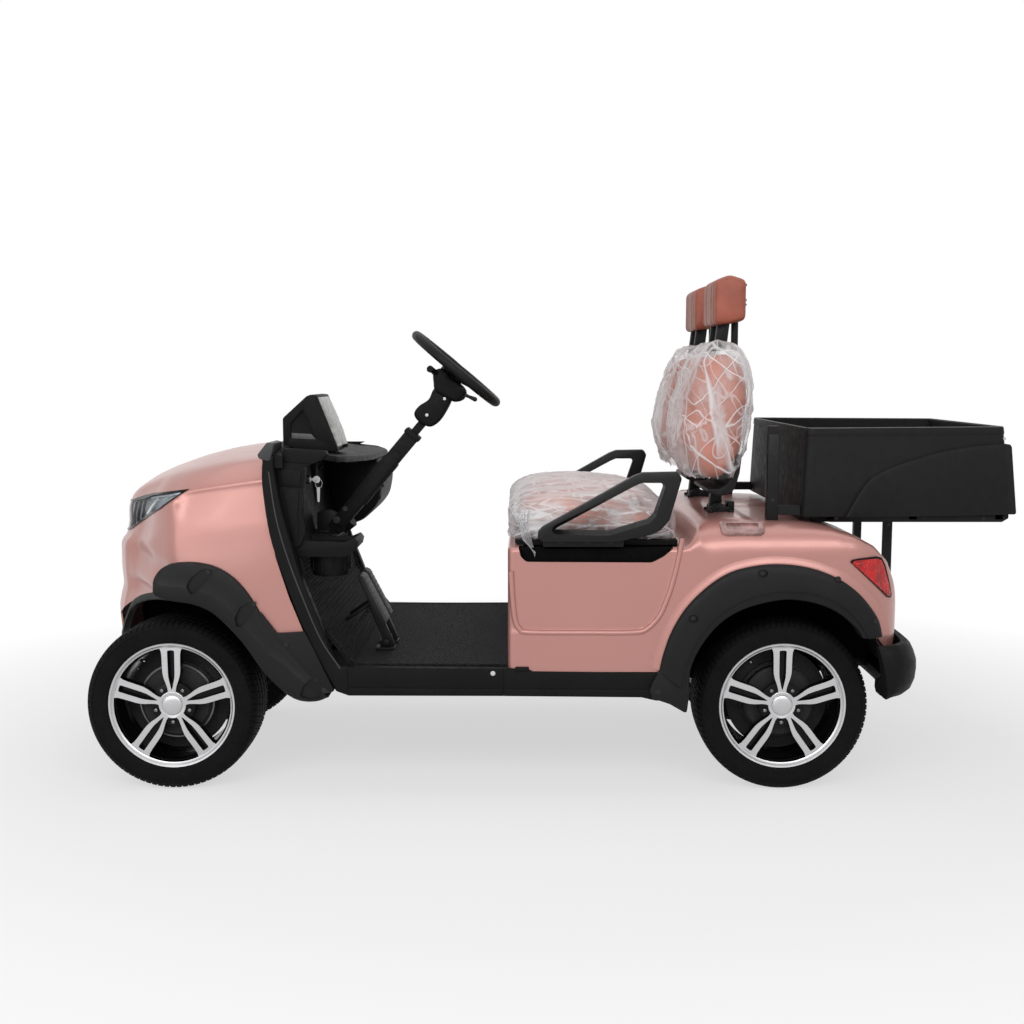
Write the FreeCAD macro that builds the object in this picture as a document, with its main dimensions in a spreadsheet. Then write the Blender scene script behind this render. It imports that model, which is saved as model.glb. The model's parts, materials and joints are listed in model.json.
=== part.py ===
"""Two-seat electric utility cart with a cargo tub, as a parametric FreeCAD document.

Frame: +X forward, +Y to the cart's left, +Z up, origin on the ground under the middle of
the cart's box. Lengths are millimetres. Outlines are drawn in side view: x is measured from
the front or the rear axle, z from the ground with the hubs at their drawn height.
"""
import FreeCAD, Part
import math
import os
import Sketcher

V = FreeCAD.Vector
X_AXIS = V(1, 0, 0)
Y_AXIS = V(0, 1, 0)
Z_AXIS = V(0, 0, 1)

doc = FreeCAD.newDocument("utility_cart")


# ---------------------------------------------------------------- driving dimensions
class Size(float):
    """A number that carries the spreadsheet expression it came from."""

    def __new__(cls, value, text=None):
        size = float.__new__(cls, value)
        size.text = text or repr(float(value))
        return size

    def _with(self, other, sign, value, swapped=False):
        left, right = self.text, text_of(other)
        if swapped:
            left, right = right, left
        return Size(value, "(%s %s %s)" % (left, sign, right))

    def __add__(self, other):
        return self._with(other, "+", float(self) + float(other))

    def __radd__(self, other):
        return self._with(other, "+", float(other) + float(self), True)

    def __sub__(self, other):
        return self._with(other, "-", float(self) - float(other))

    def __rsub__(self, other):
        return self._with(other, "-", float(other) - float(self), True)

    def __mul__(self, other):
        return self._with(other, "*", float(self) * float(other))

    def __rmul__(self, other):
        return self._with(other, "*", float(other) * float(self), True)

    def __truediv__(self, other):
        return self._with(other, "/", float(self) / float(other))

    def __neg__(self):
        return Size(-float(self), "(0 - %s)" % self.text)


def text_of(number):
    return number.text if isinstance(number, Size) else repr(float(number))


SIZES = {
    # overall
    "wheelbase": 1890,
    "nose_overhang": 276,
    "tail_overhang": 737,
    "body_half_width": 586,
    "hub_drawn": 268,
    "gap": 0.4,
    "skin": 6,
    # wheels
    "track": 824,
    "tyre_radius": 268,
    "tyre_width": 205,
    "bead_radius": 180,
    "rim_radius": 195,
    "rim_width": 190,
    "barrel_wall": 7,
    "spoke_count": 5,
    "spoke_pair_width": 57,
    "spoke_slot_width": 21,
    "hub_radius": 66,
    "hub_depth": 34,
    "cap_radius": 31,
    "stub_radius": 17,
    "arch_radius": 340,
    "liner_wall": 5,
    # chassis
    "rail_top": 395,
    "rail_height": 60,
    "rail_width": 50,
    "rail_spread": 480,
    "nose_rail_spread": 280,
    "spring_width": 50,
    # steering
    "kingpin_spread": 690,
    "kingpin_radius": 12,
    "arm_length": 110,
    "arm_height": 215,
    "steering_radius": 177,
    "steering_grip": 15,
    "steering_lean": 50,
    "column_radius": 19,
    "driver_offset": 290,
    # cabin
    "floor_thickness": 10,
    "rocker_depth": 46,
    "band_depth": 44,
    "cup_radius": 40,
    # seats
    "cushion_half_width": 515,
    "seat_back_width": 420,
    "seat_back_offset": 270,
    "headrest_width": 240,
    "headrest_height": 150,
    "armrest_width": 36,
    # cargo tub
    "tub_length": 689,
    "tub_height": 272,
    "tub_front_half": 500,
    "tub_tail_half": 390,
    "tub_wall": 9,
    "tub_floor": 852,
    "tube": 30,
    "roof_bolt_radius": 5.5,
}

sheet = doc.addObject("Spreadsheet::Sheet", "dims")
for row, (alias, value) in enumerate(SIZES.items(), start=1):
    sheet.set("A%d" % row, alias)
    sheet.set("B%d" % row, str(value))
    sheet.setAlias("B%d" % row, alias)
doc.recompute()


def dim(alias):
    return Size(sheet.get(alias), "dims." + alias)


GAP = dim("gap")
SKIN = dim("skin")
SIDE = dim("body_half_width")
LIFT = dim("tyre_radius") - dim("hub_drawn")
FRONT_X = (dim("wheelbase") + dim("tail_overhang") - dim("nose_overhang")) / 2
REAR_X = FRONT_X - dim("wheelbase")
HUB_Z = dim("tyre_radius")
WHEEL_Y = dim("track") / 2
KING_Y = dim("kingpin_spread") / 2


def fore(offset):
    """A station measured forward from the front axle."""
    return FRONT_X + offset


def aft(offset):
    """A station measured forward from the rear axle."""
    return REAR_X + offset


def up(height):
    """A height above the ground on the body drawing."""
    return LIFT + height


# ---------------------------------------------------------------- shape helpers
class Arc:
    """A step of an outline: an arc through a middle point to an end point."""

    def __init__(self, middle, end):
        self.middle = middle
        self.end = end


def wire_of(steps, place):
    """A closed wire from points and Arcs; place turns an outline point into a Vector."""
    points = [place(*step.end) if isinstance(step, Arc) else place(*step) for step in steps]
    edges = []
    for index, step in enumerate(steps):
        start = points[index - 1]
        end = points[index]
        if isinstance(step, Arc):
            edges.append(Part.Arc(start, place(*step.middle), end).toShape())
        elif start.distanceToPoint(end) > 1e-6:
            edges.append(Part.LineSegment(start, end).toShape())
    return Part.Wire(Part.__sortEdges__(edges))


def solid_along(wire, direction):
    return Part.Face(wire).extrude(direction)


def side_prism(steps, y_from, y_to, station=fore):
    """A side-view outline run across the cart."""
    wire = wire_of(steps, lambda x, z: V(station(x), y_from, up(z)))
    return solid_along(wire, V(0, y_to - y_from, 0))


def plan_prism(steps, z_from, z_to, station=fore):
    """A plan outline run upwards."""
    wire = wire_of(steps, lambda x, y: V(station(x), y, up(z_from)))
    return solid_along(wire, V(0, 0, z_to - z_from))


def box(x_from, x_to, y_from, y_to, z_from, z_to):
    corner = V(min(x_from, x_to), min(y_from, y_to), min(z_from, z_to))
    return Part.makeBox(abs(x_to - x_from), abs(y_to - y_from), abs(z_to - z_from), corner)


def rod(start, end, radius):
    return Part.makeCylinder(radius, (end - start).Length, start, end - start)


def mirrored(shape):
    """The same piece on the cart's right."""
    return shape.mirror(V(0, 0, 0), Y_AXIS)


def both_sides(shape):
    return Part.makeCompound([shape, mirrored(shape)])


def fused(shapes):
    joined = shapes[0].fuse(shapes[1:]) if len(shapes) > 1 else shapes[0]
    return joined.removeSplitter()


def rounded(shape, radius, wanted):
    """The shape with its wanted edges filleted."""
    edges = [edge for edge in shape.Edges if wanted(edge)]
    return shape.makeFillet(float(radius), edges)


def largest(shape):
    """The biggest solid of a shape."""
    return max(shape.Solids, key=lambda solid: solid.Volume)


def along(edge, direction):
    """Whether a straight edge runs in a direction."""
    if edge.Curve.TypeId != "Part::GeomLine":
        return False
    return abs(edge.Curve.Direction.dot(direction)) > 0.999


# ---------------------------------------------------------------- document helpers
nodes = []


def keep(item, label):
    """Name a document object as a sub-part of the cart."""
    item.Label = label
    nodes.append(item)
    return item


def shaped(label, shape):
    """A sub-part whose form is worked out with Part's own functions."""
    item = doc.addObject("Part::Feature", label)
    item.Shape = shape
    item.Placement = FreeCAD.Placement(shape.Placement)
    return keep(item, label)


def plane_of(body, role):
    for feature in body.Origin.OriginFeatures:
        if feature.Role == role:
            return feature


def sketch_on(body, role, name, offset=0):
    sketch = body.newObject("Sketcher::SketchObject", name)
    sketch.AttachmentSupport = [(plane_of(body, role), "")]
    sketch.MapMode = "FlatFace"
    if offset:
        sketch.AttachmentOffset = FreeCAD.Placement(V(0, 0, offset), FreeCAD.Rotation())
        sketch.setExpression("AttachmentOffset.Base.z", text_of(offset))
    return sketch


def pin_point(sketch, curve, end, x, y):
    """Hold a point of a sketch at sizes taken from the sheet."""
    for kind, value in (("DistanceX", x), ("DistanceY", y)):
        if abs(value) < 1e-9:
            on_axis = -2 if kind == "DistanceX" else -1
            sketch.addConstraint(Sketcher.Constraint("PointOnObject", curve, end, on_axis))
            continue
        number = sketch.addConstraint(Sketcher.Constraint(kind, -1, 1, curve, end, float(value)))
        if isinstance(value, Size):
            sketch.setExpression("Constraints[%d]" % number, value.text)


def polygon(sketch, points):
    """A closed run of lines, every corner pinned."""
    first = sketch.GeometryCount
    count = len(points)
    for index, (x, y) in enumerate(points):
        after = points[(index + 1) % count]
        sketch.addGeometry(Part.LineSegment(V(x, y, 0), V(after[0], after[1], 0)), False)
    for index in range(count):
        before = first + (index - 1) % count
        sketch.addConstraint(Sketcher.Constraint("Coincident", before, 2, first + index, 1))
    for index, (x, y) in enumerate(points):
        pin_point(sketch, first + index, 1, x, y)


def revolved(body, sketch, name, kind="PartDesign::Revolution"):
    feature = body.newObject(kind, name)
    feature.Profile = sketch
    feature.ReferenceAxis = (sketch, ["V_Axis"])
    feature.Angle = 360
    sketch.Visibility = False
    return feature


def pocketed(body, sketch, name, length=None):
    """A cut both ways through the body, or to a length on each side of the sketch."""
    feature = body.newObject("PartDesign::Pocket", name)
    feature.Profile = sketch
    feature.Midplane = True
    feature.Type = "Length"
    feature.Length = float(length)
    feature.setExpression("Length", text_of(length))
    return feature


def ring_of(body, features, name, count):
    """Repeat features round the body's own Y axis."""
    pattern = body.newObject("PartDesign::PolarPattern", name)
    pattern.Originals = features
    pattern.Axis = (plane_of(body, "Y_Axis"), [""])
    pattern.Angle = 360
    pattern.Occurrences = int(count)
    pattern.setExpression("Occurrences", text_of(count))
    body.Tip = pattern
    return pattern


# ---------------------------------------------------------------- wheels
WHEELS = {
    "front_left": (FRONT_X, 1),
    "front_right": (FRONT_X, -1),
    "rear_left": (REAR_X, 1),
    "rear_right": (REAR_X, -1),
}


def wheel_place(body, x, side):
    """Stand a wheel, drawn about its own Y axis with its outer face to +Y, at its hub."""
    turn = FreeCAD.Rotation(Z_AXIS, 0 if side > 0 else 180)
    body.Placement = FreeCAD.Placement(V(x, side * WHEEL_Y, HUB_Z), turn)
    body.setExpression("Placement.Base.x", text_of(x))
    body.setExpression("Placement.Base.y", (side * WHEEL_Y).text)
    body.setExpression("Placement.Base.z", HUB_Z.text)


def make_tyre(corner, x, side):
    body = doc.addObject("PartDesign::Body", "tyre_" + corner)
    half = dim("tyre_width") / 2
    top = dim("tyre_radius")
    bead = dim("bead_radius")
    lip = dim("rim_radius")
    section = sketch_on(body, "XY_Plane", "tyre_section")
    bead_half = dim("rim_width") / 2 - dim("barrel_wall") - GAP
    flank = (top - lip) / 73
    polygon(
        section,
        [
            (bead, -bead_half),
            (lip, -bead_half),
            (lip + flank * 6, -(half - 6)),
            (lip + flank * 28, -half),
            (top - flank * 24, -(half - 4)),
            (top - flank * 8, -(half - 16)),
            (top, -(half - 34)),
            (top, half - 34),
            (top - flank * 8, half - 16),
            (top - flank * 24, half - 4),
            (lip + flank * 28, half),
            (lip + flank * 6, half - 6),
            (lip, bead_half),
            (bead, bead_half),
        ],
    )
    revolved(body, section, "tyre_ring")
    wheel_place(body, x, side)
    return keep(body, "tyre_" + corner)


def make_rim(corner, x, side):
    """An alloy wheel: a barrel with two lips, a hub and paired spokes with open windows."""
    body = doc.addObject("PartDesign::Body", "rim_" + corner)
    lip = dim("rim_radius") - GAP
    seat = dim("bead_radius") - GAP
    wall = dim("barrel_wall")
    half = dim("rim_width") / 2
    hub = dim("hub_radius")
    inner = seat - wall
    face = half - 6
    section = sketch_on(body, "XY_Plane", "rim_section")
    polygon(
        section,
        [
            (dim("stub_radius") + GAP, face - 62),
            (dim("stub_radius") + GAP, face - 62 + dim("hub_depth")),
            (dim("cap_radius"), face - 62 + dim("hub_depth") + 6),
            (hub, face - 62 + dim("hub_depth") + 4),
            (inner - 14, face - 5),
            (inner, face),
            (lip - 10, half),
            (lip, half),
            (lip, half - wall),
            (seat, half - wall),
            (seat, -(half - wall)),
            (lip, -(half - wall)),
            (lip, -half),
            (inner, -half),
            (inner, face - 24),
            (hub, face - 46),
            (hub - 6, face - 62),
        ],
    )
    disc = revolved(body, section, "rim_disc")
    disc.Refine = True
    count = dim("spoke_count")
    outer = inner - 8
    root = hub + 6
    slot = dim("spoke_slot_width") / 2
    windows = sketch_on(body, "XZ_Plane", "slot_outline")
    polygon(windows, [(-slot, outer), (-slot * 0.45, root), (slot * 0.45, root), (slot, outer)])
    cut_depth = dim("tyre_width") * 2
    slot_cut = pocketed(body, windows, "spoke_slot", cut_depth)
    bay = sketch_on(body, "XZ_Plane", "window_outline")
    pair = dim("spoke_pair_width") / 2
    turn = math.pi / float(count)
    lean_out = math.sin(turn)
    lean_up = math.cos(turn)

    def on_pair(offset, reach):
        """A point beside one spoke pair's centreline."""
        return (offset, reach)

    def on_next(offset, reach):
        """The same point beside the next pair, mirrored in the window's middle."""
        cosine = math.cos(2 * turn)
        sine = math.sin(2 * turn)
        return (offset * cosine * -1 + reach * sine, offset * sine + reach * cosine)

    near_root = on_pair(pair * 0.62, root + 6)
    near_edge = on_pair(pair, outer - 3)
    far_edge = on_next(pair, outer - 3)
    far_root = on_next(pair * 0.62, root + 6)
    middle = (lean_out * (outer + 4), lean_up * (outer + 4))
    polygon(bay, [near_root, near_edge, middle, far_edge, far_root])
    bay_cut = pocketed(body, bay, "spoke_window", cut_depth)
    ring_of(body, [slot_cut, bay_cut], "spoke_ring", count)
    wheel_place(body, x, side)
    return keep(body, "rim_" + corner)


# ---------------------------------------------------------------- running gear
RAIL_Z = up(dim("rail_top"))
RAIL_LOW = RAIL_Z - dim("rail_height")
FLOOR_Z = RAIL_Z + dim("floor_thickness")
ON_FLOOR = dim("rail_top") + dim("floor_thickness") + GAP
SILL_Y = SIDE - dim("rocker_depth")
LEAF = 9
AXLE_PAD = 38


def make_chassis():
    """Two nose rails, two main rails set wider, and the tubes that tie them together."""
    rail = dim("rail_width")
    main = dim("rail_spread") / 2
    nose = dim("nose_rail_spread") / 2
    pieces = []
    nose_front = fore(225)
    nose_back = fore(-440)
    tail = aft(-270)
    for side in (1, -1):
        pieces.append(box(nose_front, nose_back, side * (nose - rail / 2), side * (nose + rail / 2),
                          RAIL_LOW, RAIL_Z))
        pieces.append(box(fore(-390), tail, side * (main - rail / 2), side * (main + rail / 2),
                          RAIL_LOW, RAIL_Z))
    outrigger = SILL_Y - GAP
    crossings = [
        (fore(175), nose + rail / 2),
        (fore(-440), outrigger),
        (aft(788), outrigger),
        (aft(385), outrigger),
        (tail, main + rail / 2),
    ]
    for x, reach in crossings:
        pieces.append(box(x, x + rail, -reach, reach, RAIL_LOW, RAIL_Z))
    return shaped("chassis_frame", fused(pieces))


BEAM_RADIUS = 27


def make_front_beam():
    """The beam between the kingpins, with an eye at each end and spring pads."""
    eye = 22
    height = HUB_Z
    end = KING_Y - eye + 2
    pieces = [rod(V(FRONT_X, -end, height), V(FRONT_X, end, height), BEAM_RADIUS)]
    nose = dim("nose_rail_spread") / 2
    for side in (1, -1):
        centre = V(FRONT_X, side * KING_Y, height - 30)
        pieces.append(Part.makeCylinder(eye, 60, centre, Z_AXIS))
        pieces.append(box(FRONT_X - 42, FRONT_X + 42, side * (nose - 30), side * (nose + 30),
                          height - 10, height + BEAM_RADIUS))
    beam = fused(pieces)
    for side in (1, -1):
        bore = Part.makeCylinder(dim("kingpin_radius") + GAP, 80, V(FRONT_X, side * KING_Y, height - 40))
        beam = beam.cut(bore)
    return shaped("front_axle_beam", beam)


def leaf_spring(x, y, seat_z, reach, eye_z):
    """A two-leaf spring arched between its eyes, with a pair of hanger plates at each."""
    half = dim("spring_width") / 2

    def leaf(length, drop):
        rise = (eye_z - seat_z) * (length / reach) ** 2
        steps = [
            (-length, rise - drop),
            Arc((0, -drop), (length, rise - drop)),
            (length, rise - drop - LEAF),
            Arc((0, -drop - LEAF), (-length, rise - drop - LEAF)),
        ]
        wire = wire_of(steps, lambda along_x, z: V(x + along_x, y - half, seat_z + z))
        return solid_along(wire, V(0, 2 * half, 0))

    pieces = [leaf(reach, 0), leaf(reach * 0.6, LEAF - 0.2)]
    for end in (x - reach, x + reach):
        pieces.append(Part.makeCylinder(10.5, 2 * half, V(end, y - half, eye_z - LEAF / 2), Y_AXIS))
        for plate_y in (y - half, y + half - 8):
            pieces.append(box(end - 9, end + 9, plate_y, plate_y + 8, eye_z - LEAF, RAIL_LOW))
    return fused(pieces)


def make_springs():
    nose = dim("nose_rail_spread") / 2
    main = dim("rail_spread") / 2
    front_seat = HUB_Z + BEAM_RADIUS + 2 * LEAF + GAP
    front = leaf_spring(FRONT_X, nose, front_seat, 205, RAIL_LOW - 12)
    rear = leaf_spring(REAR_X, main, HUB_Z - AXLE_PAD - 3 * GAP, 250, RAIL_LOW - 20)
    springs = [front, mirrored(front), rear, mirrored(rear)]
    return shaped("leaf_springs", Part.makeCompound(springs))


def make_rear_axle():
    """Axle tube, drum brakes with stub shafts, the gear case and the drive motor."""
    height = HUB_Z
    drum_out = WHEEL_Y + dim("rim_width") / 2 - 6 - 62 - 2
    main = dim("rail_spread") / 2
    pieces = [rod(V(REAR_X, -drum_out + 50, height), V(REAR_X, drum_out - 50, height), 36)]
    for side in (1, -1):
        inner = V(REAR_X, side * (drum_out - 62), height)
        outer = V(REAR_X, side * drum_out, height)
        stub = V(REAR_X, side * (drum_out + dim("hub_depth")), height)
        pieces.append(rod(inner, outer, 112))
        pieces.append(rod(outer, stub, dim("stub_radius")))
        pad = dim("spring_width") / 2 + 3
        pieces.append(box(REAR_X - 24, REAR_X + 24, side * (main - pad), side * (main + pad),
                          height - AXLE_PAD, height - 20))
    pieces.append(rod(V(REAR_X, -70, height), V(REAR_X, 70, height), 100))
    motor_z = height + 6
    pieces.append(rod(V(REAR_X + 150, -60, motor_z), V(REAR_X + 150, 200, motor_z), 88))
    pieces.append(box(REAR_X, REAR_X + 150, -60, 60, height - 70, height + 60))
    return shaped("rear_axle", fused(pieces))


ARM_Z = LIFT + dim("arm_height")
PITMAN = V(FRONT_X - 60, 100, 0)
ARM_THICK = 14
LINK_RADIUS = 9
BALL_RADIUS = 13
STUD_RADIUS = 6
LINK_STEP = BALL_RADIUS + 2
PITMAN_SHAFT = 10


def flat_arm(start, end, width, z_from, thick):
    """A flat bar with round ends between two upright pins."""
    run = end - start
    across = V(-run.y, run.x, 0).normalize() * (width / 2)
    base = V(0, 0, z_from)
    corners = [start + across, end + across, end - across, start - across]
    outline = Part.makePolygon([base + corner for corner in corners + corners[:1]])
    pieces = [solid_along(outline, V(0, 0, thick))]
    for point in (start, end):
        pieces.append(Part.makeCylinder(width / 2, thick, base + point))
    return fused(pieces)


def make_knuckle(name, side):
    """Upright with two kingpin lugs, stub shaft, brake disc and rearward steering arm."""
    king = V(FRONT_X, side * KING_Y, 0)
    height = HUB_Z
    hub_face = side * (WHEEL_Y + dim("rim_width") / 2 - 6 - 62 - 2)
    lug = 30
    pieces = []
    for z_from in (height - 30 - GAP - lug, height + 30 + GAP):
        pieces.append(Part.makeCylinder(24, lug, king + V(0, 0, z_from)))
        pieces.append(box(king.x - 20, king.x + 20, king.y, king.y + side * 42, z_from, z_from + lug))
    pieces.append(Part.makeCylinder(dim("kingpin_radius"), 60 + 2 * (lug + GAP),
                                    king + V(0, 0, height - 30 - GAP - lug)))
    upright = side * (KING_Y + 25)
    pieces.append(box(king.x - 28, king.x + 28, upright, upright + side * 20,
                      height - 30 - lug, height + 30 + lug))
    inner = V(king.x, upright + side * 18, height)
    outer = V(king.x, hub_face, height)
    pieces.append(rod(inner, outer, 34))
    disc_face = V(king.x, hub_face - side * 9, height)
    pieces.append(rod(disc_face, outer, 118))
    pieces.append(rod(outer, V(king.x, hub_face + side * dim("hub_depth"), height), dim("stub_radius")))
    arm_end = V(king.x - dim("arm_length"), king.y, 0)
    pieces.append(flat_arm(king, arm_end, 34, ARM_Z - ARM_THICK / 2, ARM_THICK))
    knuckle = fused(pieces)
    hole = Part.makeCylinder(STUD_RADIUS + GAP, 40, arm_end + V(0, 0, ARM_Z - 20))
    return shaped(name, knuckle.cut(hole))


def link_rod(start, end, z, studs):
    """A round link with a ball and an upright stud at each end; studs run from z."""
    first = V(start.x, start.y, z)
    last = V(end.x, end.y, z)
    pieces = [rod(first, last, LINK_RADIUS)]
    for point, stud in zip((first, last), studs):
        pieces.append(Part.makeSphere(BALL_RADIUS, point))
        low = min(z, z + stud)
        pieces.append(Part.makeCylinder(STUD_RADIUS, abs(stud), V(point.x, point.y, low)))
    return fused(pieces)


def make_links():
    """The tie rod under the arms, and the pitman arm and drag link above the left one."""
    arm_x = FRONT_X - dim("arm_length")
    left = V(arm_x, KING_Y, 0)
    right = V(arm_x, -KING_Y, 0)
    low_z = ARM_Z - ARM_THICK / 2 - LINK_STEP
    reach = ARM_Z - low_z
    shaped("tie_rod", link_rod(left, right, low_z, (reach, reach)))
    high_z = ARM_Z + ARM_THICK / 2 + LINK_STEP
    pitman_z = high_z + LINK_STEP
    pitman_end = V(PITMAN.x - dim("arm_length"), PITMAN.y, 0)
    down = ARM_Z + 1 - high_z
    rise = LINK_STEP + ARM_THICK / 2
    shaped("drag_link", link_rod(left, pitman_end, high_z, (down, rise)))
    arm = flat_arm(PITMAN, pitman_end, 32, pitman_z, ARM_THICK)
    shaft = Part.makeCylinder(PITMAN_SHAFT, GEAR_LOW + 40 - pitman_z, PITMAN + V(0, 0, pitman_z))
    hole = Part.makeCylinder(STUD_RADIUS + GAP, 40, pitman_end + V(0, 0, pitman_z - 10))
    shaped("pitman_arm", fused([arm, shaft]).cut(hole))


GEAR_LOW = RAIL_LOW
GEAR_TOP = up(412)


def make_steering_gear():
    """The gear housing between the nose rails, bored from below for the pitman shaft."""
    nose = dim("nose_rail_spread") / 2 - dim("rail_width") / 2
    housing = rounded(
        box(PITMAN.x - 45, PITMAN.x + 45, PITMAN.y - 60, nose, GEAR_LOW, GEAR_TOP),
        10,
        lambda edge: along(edge, Z_AXIS) and edge.CenterOfMass.y < PITMAN.y,
    )
    bore = Part.makeCylinder(PITMAN_SHAFT + GAP, 42, PITMAN + V(0, 0, GEAR_LOW))
    collar = Part.makeCylinder(20, 18, V(PITMAN.x, PITMAN.y, GEAR_TOP - 1))
    return shaped("steering_gear", fused([housing, collar]).cut(bore))


# ---------------------------------------------------------------- front bodywork
# Sections of the nose from the cabin forward: station, crown height, shoulder (y, z),
# bend (y, z) between shoulder and side, side (y, z) and the half-width low down.
NOSE_SECTIONS = [
    (-640, 1062, (455, 1042), (548, 985), (572, 850), 586),
    (-330, 1062, (450, 1038), (545, 980), (570, 845), 586),
    (-75, 1030, (420, 1002), (520, 942), (560, 790), 578),
    (20, 1004, (365, 976), (462, 922), (512, 770), 535),
    (120, 968, (275, 940), (345, 886), (372, 745), 387),
    (165, 942, (215, 916), (272, 866), (304, 738), 321),
    (215, 896, (120, 888), (158, 856), (226, 735), 249),
    (234, 850, (70, 842), (90, 820), (182, 732), 212),
    (254, 762, (55, 758), (90, 748), (120, 730), 165),
    (266, 720, (60, 714), (75, 700), (85, 690), 120),
    (276, 520, (40, 516), (48, 508), (52, 500), 58),
]
NOSE_BACK = -640
TIP_INSET = 30
TIP_START = 200
NOSE_LOW = 402
WIDE = SIDE / 586
ARCH_INNER = 165


def nose_form(inset=0, back=NOSE_BACK, low=NOSE_LOW - 6):
    """The nose as a closed form, drawn in by an inset and run straight down to a low edge."""
    wires = []
    for station, crown, shoulder, bend, waist, foot in NOSE_SECTIONS:
        if inset > TIP_INSET and station > TIP_START:
            continue
        x = fore(station - (inset if station > 0 else 0))
        if station == NOSE_BACK:
            x = fore(back)
        top = up(crown - inset)

        def place(y, z):
            return V(x, y, up(z))

        half = [
            place(foot * WIDE - inset, low),
            place(foot * WIDE - inset, NOSE_LOW),
            place(waist[0] * WIDE - inset, waist[1]),
            place(bend[0] * WIDE - inset * 0.8, bend[1] - inset * 0.6),
            place(shoulder[0] * WIDE - inset * 0.2, shoulder[1] - inset),
        ]
        other = [V(point.x, -point.y, point.z) for point in half]
        edges = [
            Part.LineSegment(half[0], half[1]).toShape(),
            Part.LineSegment(half[1], half[2]).toShape(),
            Part.Arc(half[2], half[3], half[4]).toShape(),
            Part.Arc(half[4], V(x, 0, top), other[4]).toShape(),
            Part.Arc(other[4], other[3], other[2]).toShape(),
            Part.LineSegment(other[2], other[1]).toShape(),
            Part.LineSegment(other[1], other[0]).toShape(),
            Part.LineSegment(other[0], half[0]).toShape(),
        ]
        wires.append(Part.Wire(edges))
    return Part.makeLoft(wires, True, True)


# The dark band between the painted nose and the cabin, in side view.
BAND_FRONT = [(-322, 1120), (-312, 1044), (-306, 912), (-332, 731), (-368, 609), (-420, 505)]
BAND_BACK = [(-462, ON_FLOOR), (-584, ON_FLOOR), (-548, 426), (-519, 488), (-447, 671), (-390, 853),
             (-356, 1003), (-354, 1120)]


def make_nose_cowl():
    """The painted nose shell, open at the wheels, below and towards the cabin."""
    reach = SIDE + 20
    shell = nose_form().cut(nose_form(SKIN, back=-660, low=NOSE_LOW - 40))
    behind = side_prism(BAND_FRONT + [(-462, 380), (-700, 380), (-700, 1120)], -reach, reach)
    arch = Part.makeCylinder(dim("arch_radius"), SIDE, V(FRONT_X, ARCH_INNER, HUB_Z), Y_AXIS)
    low = box(fore(-700), fore(60), -reach, reach, up(380), up(505))
    return shaped("nose_cowl", shell.cut([behind, arch, mirrored(arch), low]))


def band_zone(slack):
    """The room that the band fills, with some slack round its inner and rear faces."""
    reach = SIDE + 20
    ring = nose_form(-4 - slack, low=340).cut(nose_form(dim("band_depth") + slack, back=-660, low=300))
    back = [(x - slack, z - slack) for x, z in BAND_BACK]
    return ring.common(side_prism(BAND_FRONT + back, -reach, reach))


def make_cowl_band():
    """The band stands proud of the nose and runs from the crown down to the rocker."""
    return shaped("cowl_band", band_zone(0))


FLARE_FRONT = [(2, 613), (31, 639), (23, 688), (-4, 719), (-26, 727), (-85, 731), (-165, 709), (-245, 667),
               (-297, 604), (-347, 518), (-400, 452), (-462, 388), (-492, 338), (-470, 310), (-414, 303),
               (-358, 352), (-322, 384), (-289, 440), (-220, 525), (-154, 568), (-73, 600)]
FLARE_REAR = [(403, 404), (383, 461), (300, 584), (182, 684), (33, 719), (-147, 701), (-239, 616),
              (-303, 494), (-228, 492), (-140, 608), (1, 640), (150, 603), (268, 465), (297, 338),
              (301, 272), (380, 300)]
FLARE_OUT = 26


def make_front_flares():
    """Moulded arch flares that stand off the nose's sides and the band's foot."""
    flare = side_prism(FLARE_FRONT, SIDE - 120, SIDE + FLARE_OUT)
    flare = flare.common(nose_form(-FLARE_OUT, low=200)).cut(nose_form(-GAP, low=180))
    flare = flare.cut(band_zone(GAP))
    return shaped("front_flares", both_sides(largest(flare)))


def make_rockers():
    """A boxed sill on each side between the two wheel arches, level with the floor."""
    front = [V(fore(x), SILL_Y, z) for x, z in [(-476, FLOOR_Z), (-476, up(330)), (-455, up(314))]]
    back = [V(aft(404), SILL_Y, z) for z in (up(306), FLOOR_Z)]
    wire = Part.makePolygon(front + back + front[:1])
    sill = solid_along(wire, V(0, dim("rocker_depth"), 0))
    return shaped("rocker_panels", both_sides(sill))


# ---------------------------------------------------------------- cabin
def make_floor():
    """The floor tray on the rails, which also carries the battery."""
    side = SILL_Y - GAP
    tray = box(fore(-560), aft(410), -side, side, RAIL_Z, FLOOR_Z)
    return shaped("floor_pan", tray)


COLUMN_FOOT = V(fore(-544), dim("driver_offset"), up(823))
WHEEL_CENTRE = V(fore(-877), dim("driver_offset"), up(1303))
LEAN = math.radians(float(dim("steering_lean")))
STEER_AXIS = V(-math.cos(LEAN), 0, math.sin(LEAN))
TILT_JOINT = WHEEL_CENTRE - STEER_AXIS * 130
GEAR_INPUT = V(PITMAN.x, PITMAN.y, GEAR_TOP + 30)


def shaft_clearance(radius):
    """The room that the lower steering shaft needs through the panels."""
    run = GEAR_INPUT - COLUMN_FOOT
    return rod(COLUMN_FOOT + run * 0.06, COLUMN_FOOT + run * 0.9, radius)


def make_toe_board():
    """The sloping panel between the floor and the dash."""
    outline = [(-566, ON_FLOOR), (-446, 560), (-404, 744), (-398, 743), (-440, 557),
               (-559, ON_FLOOR)]
    board = side_prism(outline, -SIDE, SIDE).common(nose_form(dim("band_depth") + GAP, low=300))
    return shaped("toe_board", board.cut(shaft_clearance(32)))


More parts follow.
